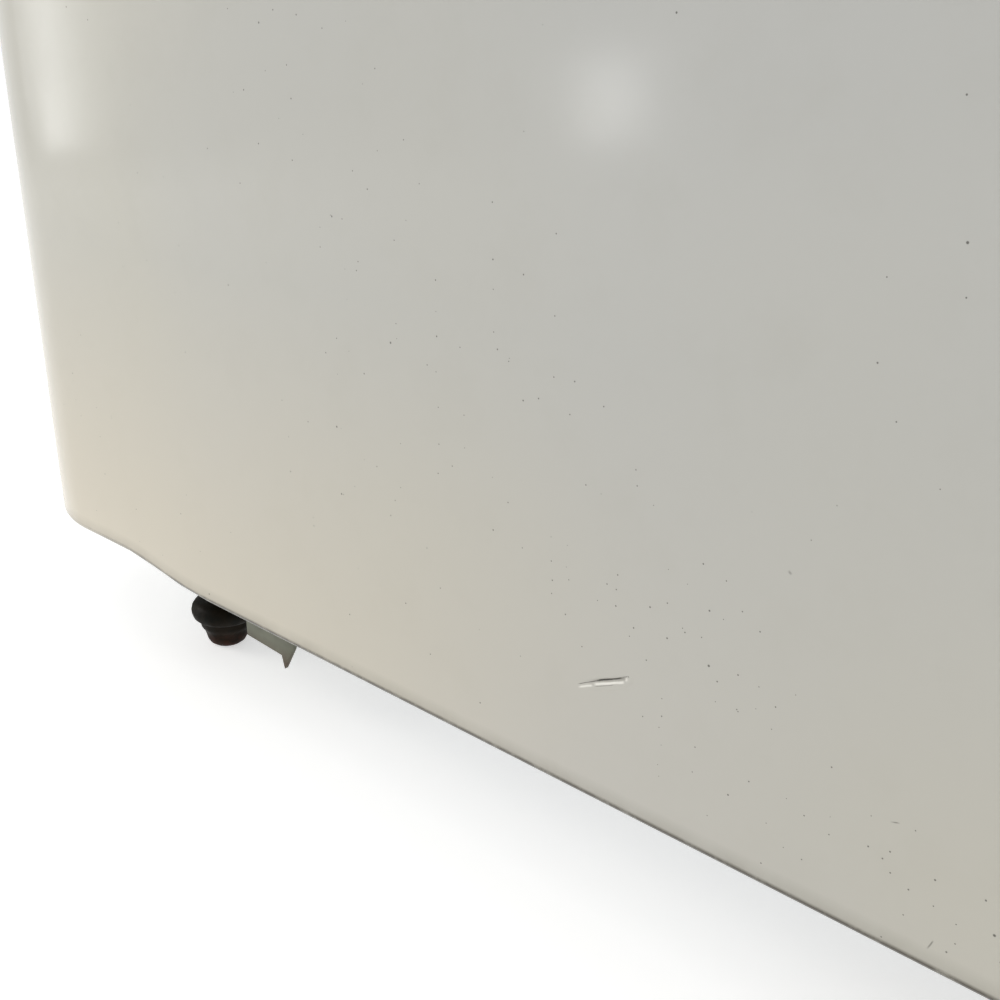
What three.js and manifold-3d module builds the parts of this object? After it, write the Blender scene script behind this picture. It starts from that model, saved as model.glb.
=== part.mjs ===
// A household icebox: an enamelled sheet-steel cabinet with an ice compartment over a food compartment,
// a drain that leads the melt water down to a pan in the base drawer, and four screw feet.
// Millimetres, +Z up. The doors face -Y, their hinges are on the +X side and their latches on the -X side.
// The origin is on the floor, under the middle of the whole object.
import * as THREE from "three";
import { mergeVertices } from "three/addons/utils/BufferGeometryUtils.js";
import Module from "manifold-3d";

const wasm = await Module();
wasm.setup();

// ---- driving dimensions ------------------------------------------------------------------------------
const WIDTH = 740;
const SHELL_DEPTH = 640;
const HEIGHT = 1420;
const LEG_GAP = 50; // floor to the lower edge of the side panels
const CORNER_R = 80; // upright front corners of the cabinet
const SHEET = 1.2;
const GAP = 0.3; // between pieces that touch
const DOOR_DEPTH = 50; // door face in front of the cabinet's face
const HANDLE_REACH = 38; // handle in front of the door face

const HALF = WIDTH / 2;
const FRONT = -(SHELL_DEPTH - DOOR_DEPTH - HANDLE_REACH) / 2;
const BACK = FRONT + SHELL_DEPTH;
const FACE = FRONT - DOOR_DEPTH;
const ARC_X = HALF - CORNER_R; // where the upright corners begin on the front
const ARC_Y = FRONT + CORNER_R;

// lower edge of the shell: a hem on the straight run, a plain edge round the corner and at the front
const HEM_R = 4;
const HEM_FLANGE = 14;
const HEM_START = FRONT + 165;
const SHELL_BOTTOM = LEG_GAP + 6.5;
const CAP_BASE = 1360;
const CAP_EDGE_R = 30;
const CAP_SHEET = 2;
const SEAM_FLANGE = 14; // turned-in edge where side panel and front frame meet
const REAR_FLANGE = 25;
const INNER_FRONT = FRONT + SEAM_FLANGE + 2; // front of the flat inner decks

// openings in the front frame, and the panels that lie over them
const OPENING_HALF = 246;
const OVERLAY_HALF = 268;
const OPENING_R = 25;
const OVERLAY_R = 28;
const RETURN_DEPTH = 30;
const OPENINGS = {
  drawer: [82, 170],
  food: [222, 916],
  ice: [978, 1318],
};
const OVERLAYS = {
  drawer: [70, 182],
  food: [200, 938],
  ice: [956, 1340],
};

// one-piece liner
const LINER_HALF = 272;
const LINER_BOTTOM = 218;
const LINER_TOP = 1322;
const LINER_FRONT = FRONT + SHEET + GAP;
const LINER_BACK = BACK - 70;

// base
const PAN_FLOOR = 62; // underside of the bottom pan
const PAN_SHEET = 2;
const DECK_BOTTOM = 174;
const RUNNER_X = 200;
const RUNNER_WIDTH = 20;
const DRIP_BOTTOM = 86;
const DRIP_TOP = 146;
const DRIP_HALF = 230;
const DRIP_BACK = 320;

// ice compartment
const ICE_PAN_BOTTOM = 942;
const ICE_PAN_TOP = 974;
const ICE_PAN_HALF = 240;
const ICE_PAN_FRONT = FRONT + 56;
const ICE_PAN_BACK = LINER_BACK - 6;
const SUPPORT_BOTTOM = 924;

// drain
const DRAIN_X = 200;
const DRAIN_Y = BACK - 92;
const TUBE_R = 9;
const TUBE_BORE = 7.5;
const TUBE_BOTTOM = 160;
const TRAP_BOTTOM = 152;
const TRAP_R = 18;

// shelves
const SHELF_LEVELS = { bottom: 400, middle: 580, top: 760 };
const SHELF_HALF = 240;
const SHELF_FRONT = FRONT + 82;
const SHELF_BACK = BACK - 106;
const SHELF_BARS = 13;

// doors
const DOOR_EDGE_R = 12;
const DOOR_BACK = FRONT - 4; // rear face of the inner panel's flange
const PLUG_HALF = 236;
const PLUG_REACH = 22; // how far the inner panel stands into the opening
const HINGE_X = 273;
const HINGE_Y = FACE;
const KNUCKLE_R = 5.5;
const PIN_R = 2.5;
const HINGES = { ice: { lower: 1022, upper: 1274 }, food: { lower: 290, upper: 848 } };

// latches
const LATCH_Z = { ice: 1148, food: 640 };
const PIVOT_X = -150;
const BAR_HALF = 7;

// feet
const FOOT_INSET = 38; // axis to the outside of the side panel
const FOOT_ROWS = { front: FRONT + 148, rear: BACK - 45 };
const STEM_R = 5;
const BRACKET_TOP = PAN_FLOOR - GAP;
const BRACKET_THICK = 3;

// ---- materials ---------------------------------------------------------------------------------------
const LOOKS = {
  enamel: [0xd9d6cb, 0.3, 0.0],
  liner_enamel: [0xecebe4, 0.28, 0.0],
  galvanised: [0xa9adab, 0.45, 0.85],
  primer: [0x5d6054, 0.6, 0.3],
  chrome: [0xd5d7da, 0.14, 1.0],
  tinned: [0xb9bcb9, 0.3, 0.95],
  wool: [0x9b8f73, 0.95, 0.0],
  gasket: [0x2a2a28, 0.75, 0.0],
  lead: [0x7f8482, 0.5, 0.8],
  glide: [0x33291d, 0.6, 0.35],
  rack_wood: [0x9a7a52, 0.7, 0.0],
};

function material(slot) {
  const [color, roughness, metalness] = LOOKS[slot];
  return new THREE.MeshStandardMaterial({ name: slot, color, roughness, metalness });
}

// ---- solids ------------------------------------------------------------------------------------------
function solid(geometry) {
  const bare = geometry.clone();
  bare.deleteAttribute("normal");
  bare.deleteAttribute("uv");
  const merged = mergeVertices(bare, 1e-4);
  const vertProperties = new Float32Array(merged.attributes.position.array);
  const triVerts = new Uint32Array(merged.index.array);
  return new wasm.Manifold(new wasm.Mesh({ numProp: 3, vertProperties, triVerts }));
}

function union(pieces) {
  return pieces.reduce((whole, piece) => whole.add(piece));
}

function box(low, high) {
  const size = high.map((value, i) => value - low[i]);
  const middle = high.map((value, i) => (value + low[i]) / 2);
  return solid(new THREE.BoxGeometry(...size).translate(...middle));
}

// a box given by half its width, centred on the YZ plane
function centredBox(half, [y0, y1], [z0, z1]) {
  return box([-half, y0, z0], [half, y1, z1]);
}

// a shape pushed along one axis: "x" takes a YZ shape, "y" an XZ shape and "z" an XY shape
function prism(shape, axis, from, to, options = {}) {
  const { bevel = 0, steps = 3, curve = 3 } = options;
  const geometry = new THREE.ExtrudeGeometry(shape, {
    depth: to - from,
    curveSegments: curve,
    bevelEnabled: bevel > 0,
    bevelThickness: bevel,
    bevelSize: bevel,
    bevelSegments: steps,
  });
  if (axis === "x") {
    const turn = new THREE.Matrix4().makeBasis(
      new THREE.Vector3(0, 1, 0), new THREE.Vector3(0, 0, 1), new THREE.Vector3(1, 0, 0));
    geometry.applyMatrix4(turn).translate(from, 0, 0);
  } else if (axis === "y") {
    geometry.rotateX(Math.PI / 2).translate(0, to, 0);
  } else {
    geometry.translate(0, 0, from);
  }
  return solid(geometry);
}

function rod(radius, axis, [a, b], from, to, sides = 20) {
  const geometry = new THREE.CylinderGeometry(radius, radius, to - from, sides);
  const middle = (from + to) / 2;
  if (axis === "y") {
    geometry.translate(a, middle, b);
  } else {
    geometry.rotateX(Math.PI / 2).translate(a, b, middle);
  }
  return solid(geometry);
}

// a turned piece about an upright axis through (x, y); the profile is a list of [radius, z]
function turned(profile, x, y, sides) {
  const points = profile.map(([radius, z]) => new THREE.Vector2(radius, z));
  return solid(new THREE.LatheGeometry(points, sides).rotateX(Math.PI / 2).translate(x, y, 0));
}

function polygon(points) {
  return new THREE.Shape(points.map(([u, v]) => new THREE.Vector2(u, v)));
}

function roundedRect(half, low, high, radius) {
  const shape = new THREE.Shape();
  shape.moveTo(-half + radius, low);
  shape.lineTo(half - radius, low);
  shape.absarc(half - radius, low + radius, radius, -Math.PI / 2, 0, false);
  shape.lineTo(half, high - radius);
  shape.absarc(half - radius, high - radius, radius, 0, Math.PI / 2, false);
  shape.lineTo(-half + radius, high);
  shape.absarc(-half + radius, high - radius, radius, Math.PI / 2, Math.PI, false);
  shape.lineTo(-half, low + radius);
  shape.absarc(-half + radius, low + radius, radius, Math.PI, Math.PI * 1.5, false);
  return shape;
}

// the object is built from pieces that are added under their names
const icebox = new THREE.Group();

function add(name, look, piece, mirror = false) {
  const { vertProperties, triVerts } = piece.getMesh();
  const positions = Float32Array.from(vertProperties);
  const triangles = Uint32Array.from(triVerts);
  if (mirror) {
    for (let i = 0; i < positions.length; i += 3) {
      positions[i] = -positions[i];
    }
    for (let i = 0; i < triangles.length; i += 3) {
      [triangles[i], triangles[i + 1]] = [triangles[i + 1], triangles[i]];
    }
  }
  const geometry = new THREE.BufferGeometry();
  geometry.setAttribute("position", new THREE.BufferAttribute(positions, 3));
  geometry.setIndex(new THREE.BufferAttribute(triangles, 1));
  geometry.computeVertexNormals();
  const mesh = new THREE.Mesh(geometry, material(look));
  mesh.name = name;
  icebox.add(mesh);
}

// one solid as the right-hand piece and its mirror image as the left-hand one
function addPair(name, look, piece) {
  add(`${name}_right`, look, piece);
  add(`${name}_left`, look, piece, true);
}

// ---- cabinet shell -----------------------------------------------------------------------------------
function sidePanel() {
  const rear = BACK - SHEET - GAP;
  const plan = new THREE.Shape();
  plan.moveTo(ARC_X, FRONT);
  plan.absarc(ARC_X, ARC_Y, CORNER_R, -Math.PI / 2, 0, false);
  plan.lineTo(HALF, rear);
  plan.lineTo(HALF - REAR_FLANGE, rear);
  plan.lineTo(HALF - REAR_FLANGE, rear - SHEET);
  plan.lineTo(HALF - SHEET, rear - SHEET);
  plan.lineTo(HALF - SHEET, ARC_Y);
  plan.absarc(ARC_X, ARC_Y, CORNER_R - SHEET, 0, -Math.PI / 2, true);
  const wall = prism(plan, "z", SHELL_BOTTOM, CAP_BASE, { curve: 10 });
  const seam = box([ARC_X, FRONT, SHELL_BOTTOM], [ARC_X + SHEET, FRONT + SEAM_FLANGE, CAP_BASE]);

  const hem = new THREE.Shape();
  hem.moveTo(HALF - HEM_FLANGE, LEG_GAP);
  hem.lineTo(HALF - HEM_R, LEG_GAP);
  hem.absarc(HALF - HEM_R, LEG_GAP + HEM_R, HEM_R, -Math.PI / 2, 0, false);
  hem.lineTo(HALF, SHELL_BOTTOM + HEM_R);
  hem.lineTo(HALF - SHEET, SHELL_BOTTOM + HEM_R);
  hem.lineTo(HALF - SHEET, LEG_GAP + HEM_R);
  hem.absarc(HALF - HEM_R, LEG_GAP + HEM_R, HEM_R - SHEET, 0, -Math.PI / 2, true);
  hem.lineTo(HALF - HEM_FLANGE, LEG_GAP + SHEET);
  return union([wall, seam, prism(hem, "y", HEM_START, rear, { curve: 3 })]);
}

// a slab with the cabinet's plan and a rounded upper edge, square at the back
function capBlock(inset, back) {
  const edge = CAP_EDGE_R - inset;
  const radius = CORNER_R - CAP_EDGE_R;
  const plan = new THREE.Shape();
  plan.moveTo(-ARC_X, FRONT + CAP_EDGE_R);
  plan.lineTo(ARC_X, FRONT + CAP_EDGE_R);
  plan.absarc(ARC_X, ARC_Y, radius, -Math.PI / 2, 0, false);
  plan.lineTo(HALF - CAP_EDGE_R, BACK + CAP_EDGE_R);
  plan.lineTo(-HALF + CAP_EDGE_R, BACK + CAP_EDGE_R);
  plan.lineTo(-HALF + CAP_EDGE_R, ARC_Y);
  plan.absarc(-ARC_X, ARC_Y, radius, Math.PI, Math.PI * 1.5, false);
  const options = { bevel: edge, curve: 8, steps: 4 };
  const block = prism(plan, "z", CAP_BASE - 2 * CAP_EDGE_R, HEIGHT - CAP_EDGE_R, options);
  const low = inset > 0 ? CAP_BASE - CAP_EDGE_R : CAP_BASE + GAP;
  return block.intersect(centredBox(HALF + 1, [FRONT - 1, back], [low, HEIGHT + 1]));
}

function topCap() {
  return capBlock(0, BACK).subtract(capBlock(CAP_SHEET, BACK - CAP_SHEET));
}

function frontFrame() {
  const half = ARC_X - GAP;
  const pieces = [centredBox(half, [FRONT, FRONT + SHEET], [SHELL_BOTTOM, CAP_BASE])];
  for (const side of [-1, 1]) {
    const edges = [side * half, side * (half - SHEET)].sort((a, b) => a - b);
    pieces.push(box([edges[0], FRONT, SHELL_BOTTOM], [edges[1], FRONT + SEAM_FLANGE, CAP_BASE]));
  }
  for (const [low, high] of Object.values(OPENINGS)) {
    const ring = roundedRect(OPENING_HALF + SHEET, low - SHEET, high + SHEET, OPENING_R + SHEET);
    pieces.push(prism(ring, "y", FRONT, FRONT + RETURN_DEPTH));
  }
  let frame = union(pieces);
  for (const [low, high] of Object.values(OPENINGS)) {
    const hole = roundedRect(OPENING_HALF, low, high, OPENING_R);
    frame = frame.subtract(prism(hole, "y", FRONT - 1, FRONT + RETURN_DEPTH + 1));
  }
  return frame;
}

function backPanel() {
  return centredBox(HALF - 1, [BACK - SHEET, BACK], [SHELL_BOTTOM, CAP_BASE]);
}

// the plan of a flat deck that fits inside the shell, with the front corners rounded to match
function deckPlan(half, rear) {
  const radius = half - ARC_X;
  const drop = ARC_Y - INNER_FRONT;
  const reach = Math.sqrt(radius * radius - drop * drop);
  const start = -Math.atan2(drop, reach);
  const plan = new THREE.Shape();
  plan.moveTo(-ARC_X - reach, INNER_FRONT);
  plan.lineTo(ARC_X + reach, INNER_FRONT);
  plan.absarc(ARC_X, ARC_Y, radius, start, 0, false);
  plan.lineTo(half, rear);
  plan.lineTo(-half, rear);
  plan.lineTo(-half, ARC_Y);
  plan.absarc(-ARC_X, ARC_Y, radius, Math.PI, Math.PI - start, false);
  return plan;
}

function bottomPan() {
  const top = PAN_FLOOR + PAN_SHEET;
  const runnerTop = DRIP_BOTTOM - GAP;
  const [y0, y1] = [FRONT + RETURN_DEPTH + 4, DRIP_BACK + 10];
  let pan = prism(deckPlan(HALF - 4, BACK - 4), "z", PAN_FLOOR, top);
  for (const side of [-1, 1]) {
    const x = side * RUNNER_X;
    const half = RUNNER_WIDTH / 2;
    pan = pan.add(box([x - half, y0, PAN_FLOOR], [x + half, y1, runnerTop]));
    pan = pan.subtract(box(
      [x - half + SHEET, y0 + SHEET, PAN_FLOOR - 1],
      [x + half - SHEET, y1 - SHEET, runnerTop - SHEET]));
    for (const y of Object.values(FOOT_ROWS)) {
      const foot = side * (HALF - FOOT_INSET);
      pan = pan.subtract(rod(STEM_R + 2, "z", [foot, y], PAN_FLOOR - 1, top + 1, 16));
    }
  }
  return pan;
}

function baseDeck() {
  const deck = prism(deckPlan(HALF - 4, BACK - 4), "z", DECK_BOTTOM, DECK_BOTTOM + SHEET);
  return deck.subtract(drainHole(DECK_BOTTOM, DECK_BOTTOM + SHEET));
}

function drainHole(low, high) {
  return rod(TUBE_R + 1, "z", [DRAIN_X, DRAIN_Y], low - 1, high + 1, 16);
}

// ---- liner and insulation ----------------------------------------------------------------------------
function liner() {
  let tub = centredBox(
    LINER_HALF + SHEET, [LINER_FRONT, LINER_BACK + SHEET], [LINER_BOTTOM - SHEET, LINER_TOP + SHEET]);
  tub = tub.subtract(centredBox(LINER_HALF, [LINER_FRONT - 1, LINER_BACK], [LINER_BOTTOM, LINER_TOP]));
  return tub.subtract(drainHole(LINER_BOTTOM - SHEET, LINER_BOTTOM));
}

const WOOL_BOTTOM = DECK_BOTTOM + SHEET + GAP;
const WOOL_TOP = LINER_TOP + SHEET;
const WOOL_SIDE = LINER_HALF + SHEET + GAP;
const WOOL_BACK = LINER_BACK + SHEET + GAP;
const WOOL_EDGE = HALF - 3;

function sideWool() {
  const block = prism(deckPlan(WOOL_EDGE, WOOL_BACK - GAP), "z", WOOL_BOTTOM, WOOL_TOP);
  return block.intersect(box([WOOL_SIDE, FRONT, 0], [HALF, BACK, HEIGHT]));
}

function bottomWool() {
  const half = WOOL_SIDE - GAP;
  const slab = centredBox(half, [FRONT + RETURN_DEPTH + 2, WOOL_BACK - GAP],
    [WOOL_BOTTOM, LINER_BOTTOM - SHEET - GAP]);
  return slab.subtract(drainHole(WOOL_BOTTOM, LINER_BOTTOM));
}

function backWool() {
  return centredBox(WOOL_EDGE, [WOOL_BACK, BACK - 4], [WOOL_BOTTOM, WOOL_TOP]);
}

function topWool() {
  const edge = CAP_EDGE_R + 4;
  return centredBox(HALF - edge, [FRONT + edge, BACK - edge], [WOOL_TOP + GAP, HEIGHT - edge]);
}

// ---- ice compartment and drain -----------------------------------------------------------------------
function icePan() {
  const [low, high] = [ICE_PAN_BOTTOM, ICE_PAN_TOP];
  let pan = centredBox(ICE_PAN_HALF, [ICE_PAN_FRONT, ICE_PAN_BACK], [low, high]);
  pan = pan.subtract(centredBox(
    ICE_PAN_HALF - SHEET, [ICE_PAN_FRONT + SHEET, ICE_PAN_BACK - SHEET], [low + SHEET, high + 1]));
  const spoutR = TUBE_BORE - 1;
  pan = pan.add(rod(spoutR, "z", [DRAIN_X, DRAIN_Y], low - 14, low + SHEET, 16));
  return pan.subtract(rod(spoutR - SHEET, "z", [DRAIN_X, DRAIN_Y], low - 15, low + SHEET + 1, 16));
}

function iceRack() {
  const slats = 7;
  const half = ICE_PAN_HALF - 8;
  const [y0, y1] = [ICE_PAN_FRONT + 8, ICE_PAN_BACK - 46];
  const low = ICE_PAN_BOTTOM + SHEET + GAP;
  const pieces = [];
  for (const t of [0.12, 0.5, 0.88]) {
    const y = y0 + t * (y1 - y0);
    pieces.push(centredBox(half, [y - 8, y + 8], [low, low + 24]));
  }
  const slat = 15; // half its width
  const pitch = (2 * half - 2 * slat) / (slats - 1);
  for (let i = 0; i < slats; i += 1) {
    const x = -half + slat + i * pitch;
    pieces.push(box([x - slat, y0, low + 22], [x + slat, y1, low + 38]));
  }
  return union(pieces);
}

function panSupport(y, inward) {
  const half = LINER_HALF - GAP;
  const top = ICE_PAN_BOTTOM - GAP;
  const flat = [y, y + 25 * inward].sort((a, b) => a - b);
  const web = [y, y + 3 * inward].sort((a, b) => a - b);
  return centredBox(half, flat, [top - 3, top]).add(centredBox(half, web, [SUPPORT_BOTTOM, top]));
}

function drainTube() {
  const top = ICE_PAN_BOTTOM - 2;
  const flare = 16;
  return turned([
    [TUBE_BORE, TUBE_BOTTOM], [TUBE_R, TUBE_BOTTOM], [TUBE_R, top - 9], [flare, top - 2], [flare, top],
    [flare - 2, top], [TUBE_BORE, top - 8], [TUBE_BORE, TUBE_BOTTOM],
  ], DRAIN_X, DRAIN_Y, 16);
}

function drainTrap() {
  const rim = DECK_BOTTOM - GAP;
  const at = [DRAIN_X, DRAIN_Y];
  let cup = rod(TRAP_R, "z", at, TRAP_BOTTOM, rim, 20);
  cup = cup.subtract(rod(TRAP_R - SHEET, "z", at, TRAP_BOTTOM + SHEET, rim + 1, 20));
  return cup.subtract(box(
    [DRAIN_X - TRAP_R - 1, DRAIN_Y - 6, TUBE_BOTTOM + 5], [DRAIN_X + TRAP_R + 1, DRAIN_Y + 6, rim - 3]));
}

// ---- shelves -----------------------------------------------------------------------------------------
function shelfRack() {
  const wall = LINER_HALF - GAP;
  const pieces = [];
  for (const y of [SHELF_FRONT + 40, SHELF_BACK - 60]) {
    pieces.push(box([wall - 3, y, 300], [wall, y + 16, 860]));
  }
  for (const level of Object.values(SHELF_LEVELS)) {
    pieces.push(box([SHELF_HALF - 14, SHELF_FRONT, level - 3], [wall, SHELF_BACK, level]));
    pieces.push(box([wall - 3, SHELF_FRONT, level - 16], [wall, SHELF_BACK, level]));
  }
  return union(pieces);
}

function shelf(level) {
  const low = level + GAP;
  const bar = 6;
  const wire = 4;
  const pieces = [];
  for (const [y, size] of [[SHELF_FRONT, bar], [SHELF_BACK - bar, bar]]) {
    pieces.push(centredBox(SHELF_HALF, [y, y + size], [low, low + bar]));
  }
  for (const side of [-1, 1]) {
    const edges = [side * SHELF_HALF, side * (SHELF_HALF - bar)].sort((a, b) => a - b);
    pieces.push(box([edges[0], SHELF_FRONT, low], [edges[1], SHELF_BACK, low + bar]));
  }
  const pitch = (2 * SHELF_HALF) / (SHELF_BARS + 1);
  for (let i = 1; i <= SHELF_BARS; i += 1) {
    const x = -SHELF_HALF + i * pitch;
    const start = [x - wire / 2, SHELF_FRONT + 2, low + bar - 1];
    const end = [x + wire / 2, SHELF_BACK - 2, low + bar + 3];
    pieces.push(box(start, end));
  }
  return union(pieces);
}

// ---- doors -------------------------------------------------------------------------------------------
// a slab in front of the cabinet with rounded front edges; its face is at y = face and its back at y = back
function doorBlock(half, low, high, radius, edge, face, back, options = {}) {
  const outline = roundedRect(half - edge, low + edge, high - edge, Math.max(radius - edge, 1));
  const block = prism(outline, "y", face + edge, back + 2 * edge, { bevel: edge, ...options });
  return block.intersect(box([-half - 1, face - 1, low - 1], [half + 1, back, high + 1]));
}

function doorShell([low, high]) {
  const back = DOOR_BACK - SHEET - GAP;
  const outer = doorBlock(OVERLAY_HALF, low, high, OVERLAY_R, DOOR_EDGE_R, FACE, back);
  const inner = doorBlock(
    OVERLAY_HALF - SHEET, low + SHEET, high - SHEET, OVERLAY_R - SHEET, DOOR_EDGE_R - SHEET,
    FACE + SHEET, back + DOOR_EDGE_R);
  return outer.subtract(inner);
}

function doorPanel([low, high], [holeLow, holeHigh]) {
  const inset = OPENING_HALF - PLUG_HALF;
  const flange = roundedRect(OVERLAY_HALF - 4, low + 4, high - 4, OVERLAY_R - 4);
  const plug = roundedRect(PLUG_HALF, holeLow + inset, holeHigh - inset, OPENING_R);
  const hollow = roundedRect(
    PLUG_HALF - SHEET, holeLow + inset + SHEET, holeHigh - inset - SHEET, OPENING_R - SHEET);
  const face = DOOR_BACK - SHEET;
  const sheet = prism(flange, "y", face, DOOR_BACK).add(prism(plug, "y", face, FRONT + PLUG_REACH));
  return sheet.subtract(prism(hollow, "y", face - 1, FRONT + PLUG_REACH - SHEET));
}

function doorWool([low, high], [holeLow, holeHigh]) {
  const inset = OPENING_HALF - PLUG_HALF + SHEET + 1;
  const edge = SHEET + 2;
  const slab = doorBlock(
    OVERLAY_HALF - edge, low + edge, high - edge, OVERLAY_R - edge, DOOR_EDGE_R - edge,
    FACE + edge, DOOR_BACK - SHEET - GAP, { steps: 1, curve: 2 });
  const plug = roundedRect(
    OPENING_HALF - inset, holeLow + inset, holeHigh - inset, OPENING_R - SHEET);
  return slab.add(prism(plug, "y", FACE + 20, FRONT + PLUG_REACH - SHEET - GAP, { curve: 2 }));
}

function doorGasket([holeLow, holeHigh]) {
  const [out, inside] = [14, 2];
  const ring = roundedRect(OPENING_HALF + out, holeLow - out, holeHigh + out, OVERLAY_R - 4);
  const hole = roundedRect(OPENING_HALF - inside, holeLow + inside, holeHigh - inside, OPENING_R - 2);
  const [y0, y1] = [DOOR_BACK + GAP, FRONT - GAP];
  return prism(ring, "y", y0, y1).subtract(prism(hole, "y", y0 - 1, y1 + 1));
}

function hingeFrameLeaf(z) {
  const axis = [HINGE_X, HINGE_Y];
  const pieces = [box([HINGE_X + 3, FRONT - 3 - GAP, z - 30], [ARC_X - 1, FRONT - GAP, z + 30])];
  for (const [low, high] of [[-30, -12], [12, 30]]) {
    pieces.push(box([HINGE_X - 1, HINGE_Y, z + low], [HINGE_X + 4, FRONT - GAP, z + high]));
    pieces.push(rod(KNUCKLE_R, "z", axis, z + low, z + high, 12));
  }
  return union(pieces).subtract(rod(PIN_R + 0.6, "z", axis, z - 31, z + 31, 10));
}

function hingeDoorLeaf(z) {
  const axis = [HINGE_X, HINGE_Y];
  const face = FACE - GAP;
  const flat = OVERLAY_HALF - DOOR_EDGE_R;
  const leaf = union([
    box([flat - 60, face - 3, z - 24], [flat, face, z + 24]),
    box([flat - 4, face - 3, z - 11.5], [HINGE_X, face, z + 11.5]),
    rod(KNUCKLE_R, "z", axis, z - 11.5, z + 11.5, 12),
  ]);
  return leaf.subtract(rod(PIN_R + 0.6, "z", axis, z - 13, z + 13, 10));
}

function hingePin(z) {
  const head = [[30.3, 4.5], [31.5, 4.5], [33, 4], [34, 0]];
  const upper = head.map(([dz, radius]) => [radius, z + dz]);
  const lower = head.map(([dz, radius]) => [radius, z - dz]).reverse();
  return turned([...lower, [PIN_R, z - 30.3], [PIN_R, z + 30.3], ...upper], HINGE_X, HINGE_Y, 10);
}

function latchPlate(z) {
  const face = FACE - GAP;
  const outline = roundedRect(60, z - 24, z + 24, 10);
  const plate = prism(outline, "y", face - 3, face).translate([PIVOT_X - 40, 0, 0]);
  return plate.add(rod(STEM_R, "y", [PIVOT_X, z], FACE - 19, face - 1, 12));
}

// a bar that bows forward between its pivot and its nose, so that fingers pass behind it
function latchHandle(z) {
  const eye = [FACE - 16, FACE - 4];
  const bar = new THREE.Shape();
  bar.moveTo(PIVOT_X + 11, eye[1]);
  bar.lineTo(PIVOT_X - 14, eye[1]);
  bar.bezierCurveTo(PIVOT_X - 30, eye[1] - 4, PIVOT_X - 32, FACE - 28, PIVOT_X - 56, FACE - 29);
  bar.bezierCurveTo(PIVOT_X - 84, FACE - 29, PIVOT_X - 84, eye[1] - 1, PIVOT_X - 108, eye[1]);
  bar.lineTo(PIVOT_X - 137, eye[1]);
  bar.lineTo(PIVOT_X - 137, eye[1] - 8);
  bar.lineTo(PIVOT_X - 110, eye[1] - 9);
  bar.bezierCurveTo(PIVOT_X - 92, eye[1] - 12, PIVOT_X - 84, FACE - 38, PIVOT_X - 56, FACE - 38);
  bar.bezierCurveTo(PIVOT_X - 30, FACE - 38, PIVOT_X - 26, eye[0], PIVOT_X - 10, eye[0]);
  bar.lineTo(PIVOT_X + 11, eye[0]);
  const body = prism(bar, "z", z - BAR_HALF, z + BAR_HALF, { curve: 6 });
  const pivot = [PIVOT_X, z];
  return body
    .add(rod(11, "y", pivot, eye[0], eye[1], 16))
    .subtract(rod(STEM_R + 0.5, "y", pivot, eye[0] - 1, eye[1] + 1, 12));
}

function latchKeeper(z) {
  const top = z - BAR_HALF - 0.5;
  const arm = polygon([
    [FRONT - 2, z - 22], [FACE - 6, z - 19], [FACE - 15, z - 13], [FACE - 14, top], [FACE - 11, top],
    [FACE - 9, top - 2], [FRONT - 2, top - 2],
  ]);
  const [x0, x1] = [-ARC_X + 1.5, -OVERLAY_HALF - 4.5];
  const plate = box([x0, FRONT - 3 - GAP, z - 34], [x1, FRONT - GAP, top - 2]);
  return plate.add(prism(arm, "x", x0, x1));
}

// ---- base drawer -------------------------------------------------------------------------------------
const DRAWER_FACE = FRONT - 24;
const DRAWER_EDGE_R = 8;
const DRAWER_R = 18;

function drawerFront() {
  const [low, high] = OVERLAYS.drawer;
  const back = FRONT - 2 * GAP;
  const detail = { steps: 2, curve: 3 };
  const outer = doorBlock(
    OVERLAY_HALF, low, high, DRAWER_R, DRAWER_EDGE_R, DRAWER_FACE, back, detail);
  const inner = doorBlock(
    OVERLAY_HALF - SHEET, low + SHEET, high - SHEET, DRAWER_R - SHEET, DRAWER_EDGE_R - SHEET,
    DRAWER_FACE + SHEET, back + DRAWER_EDGE_R, detail);
  // a rolled lip along the upper edge, for the fingers
  const lip = polygon([
    [DRAWER_FACE + 1, high - 16], [DRAWER_FACE + 1, high - 14], [DRAWER_FACE - 15, high - 14],
    [DRAWER_FACE - 17, high - 16], [DRAWER_FACE - 17, high - 30], [DRAWER_FACE - 15, high - 30],
    [DRAWER_FACE - 15, high - 16],
  ]);
  return outer.subtract(inner).add(prism(lip, "x", -90, 90));
}

function dripPan() {
  const front = DRAWER_FACE + SHEET + GAP;
  const tray = centredBox(DRIP_HALF, [front, DRIP_BACK], [DRIP_BOTTOM, DRIP_TOP]);
  const inside = centredBox(
    DRIP_HALF - SHEET, [front + SHEET, DRIP_BACK - SHEET], [DRIP_BOTTOM + SHEET, DRIP_TOP + 1]);
  return tray.subtract(inside);
}

// ---- feet --------------------------------------------------------------------------------------------
// a turned glide: domed tip, waist, round collar and threaded stem
function foot(x, y) {
  return turned([
    [0, 0], [6.5, 0], [9.5, 1.6], [11, 5], [12, 9], [13.2, 11.5], [13.4, 14], [16.2, 15.6], [17.5, 19],
    [16.6, 22.6], [13, 25.5], [STEM_R, 26.5], [STEM_R, 84], [STEM_R - 1, 85], [0, 85],
  ], x, y, 14);
}

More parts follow.
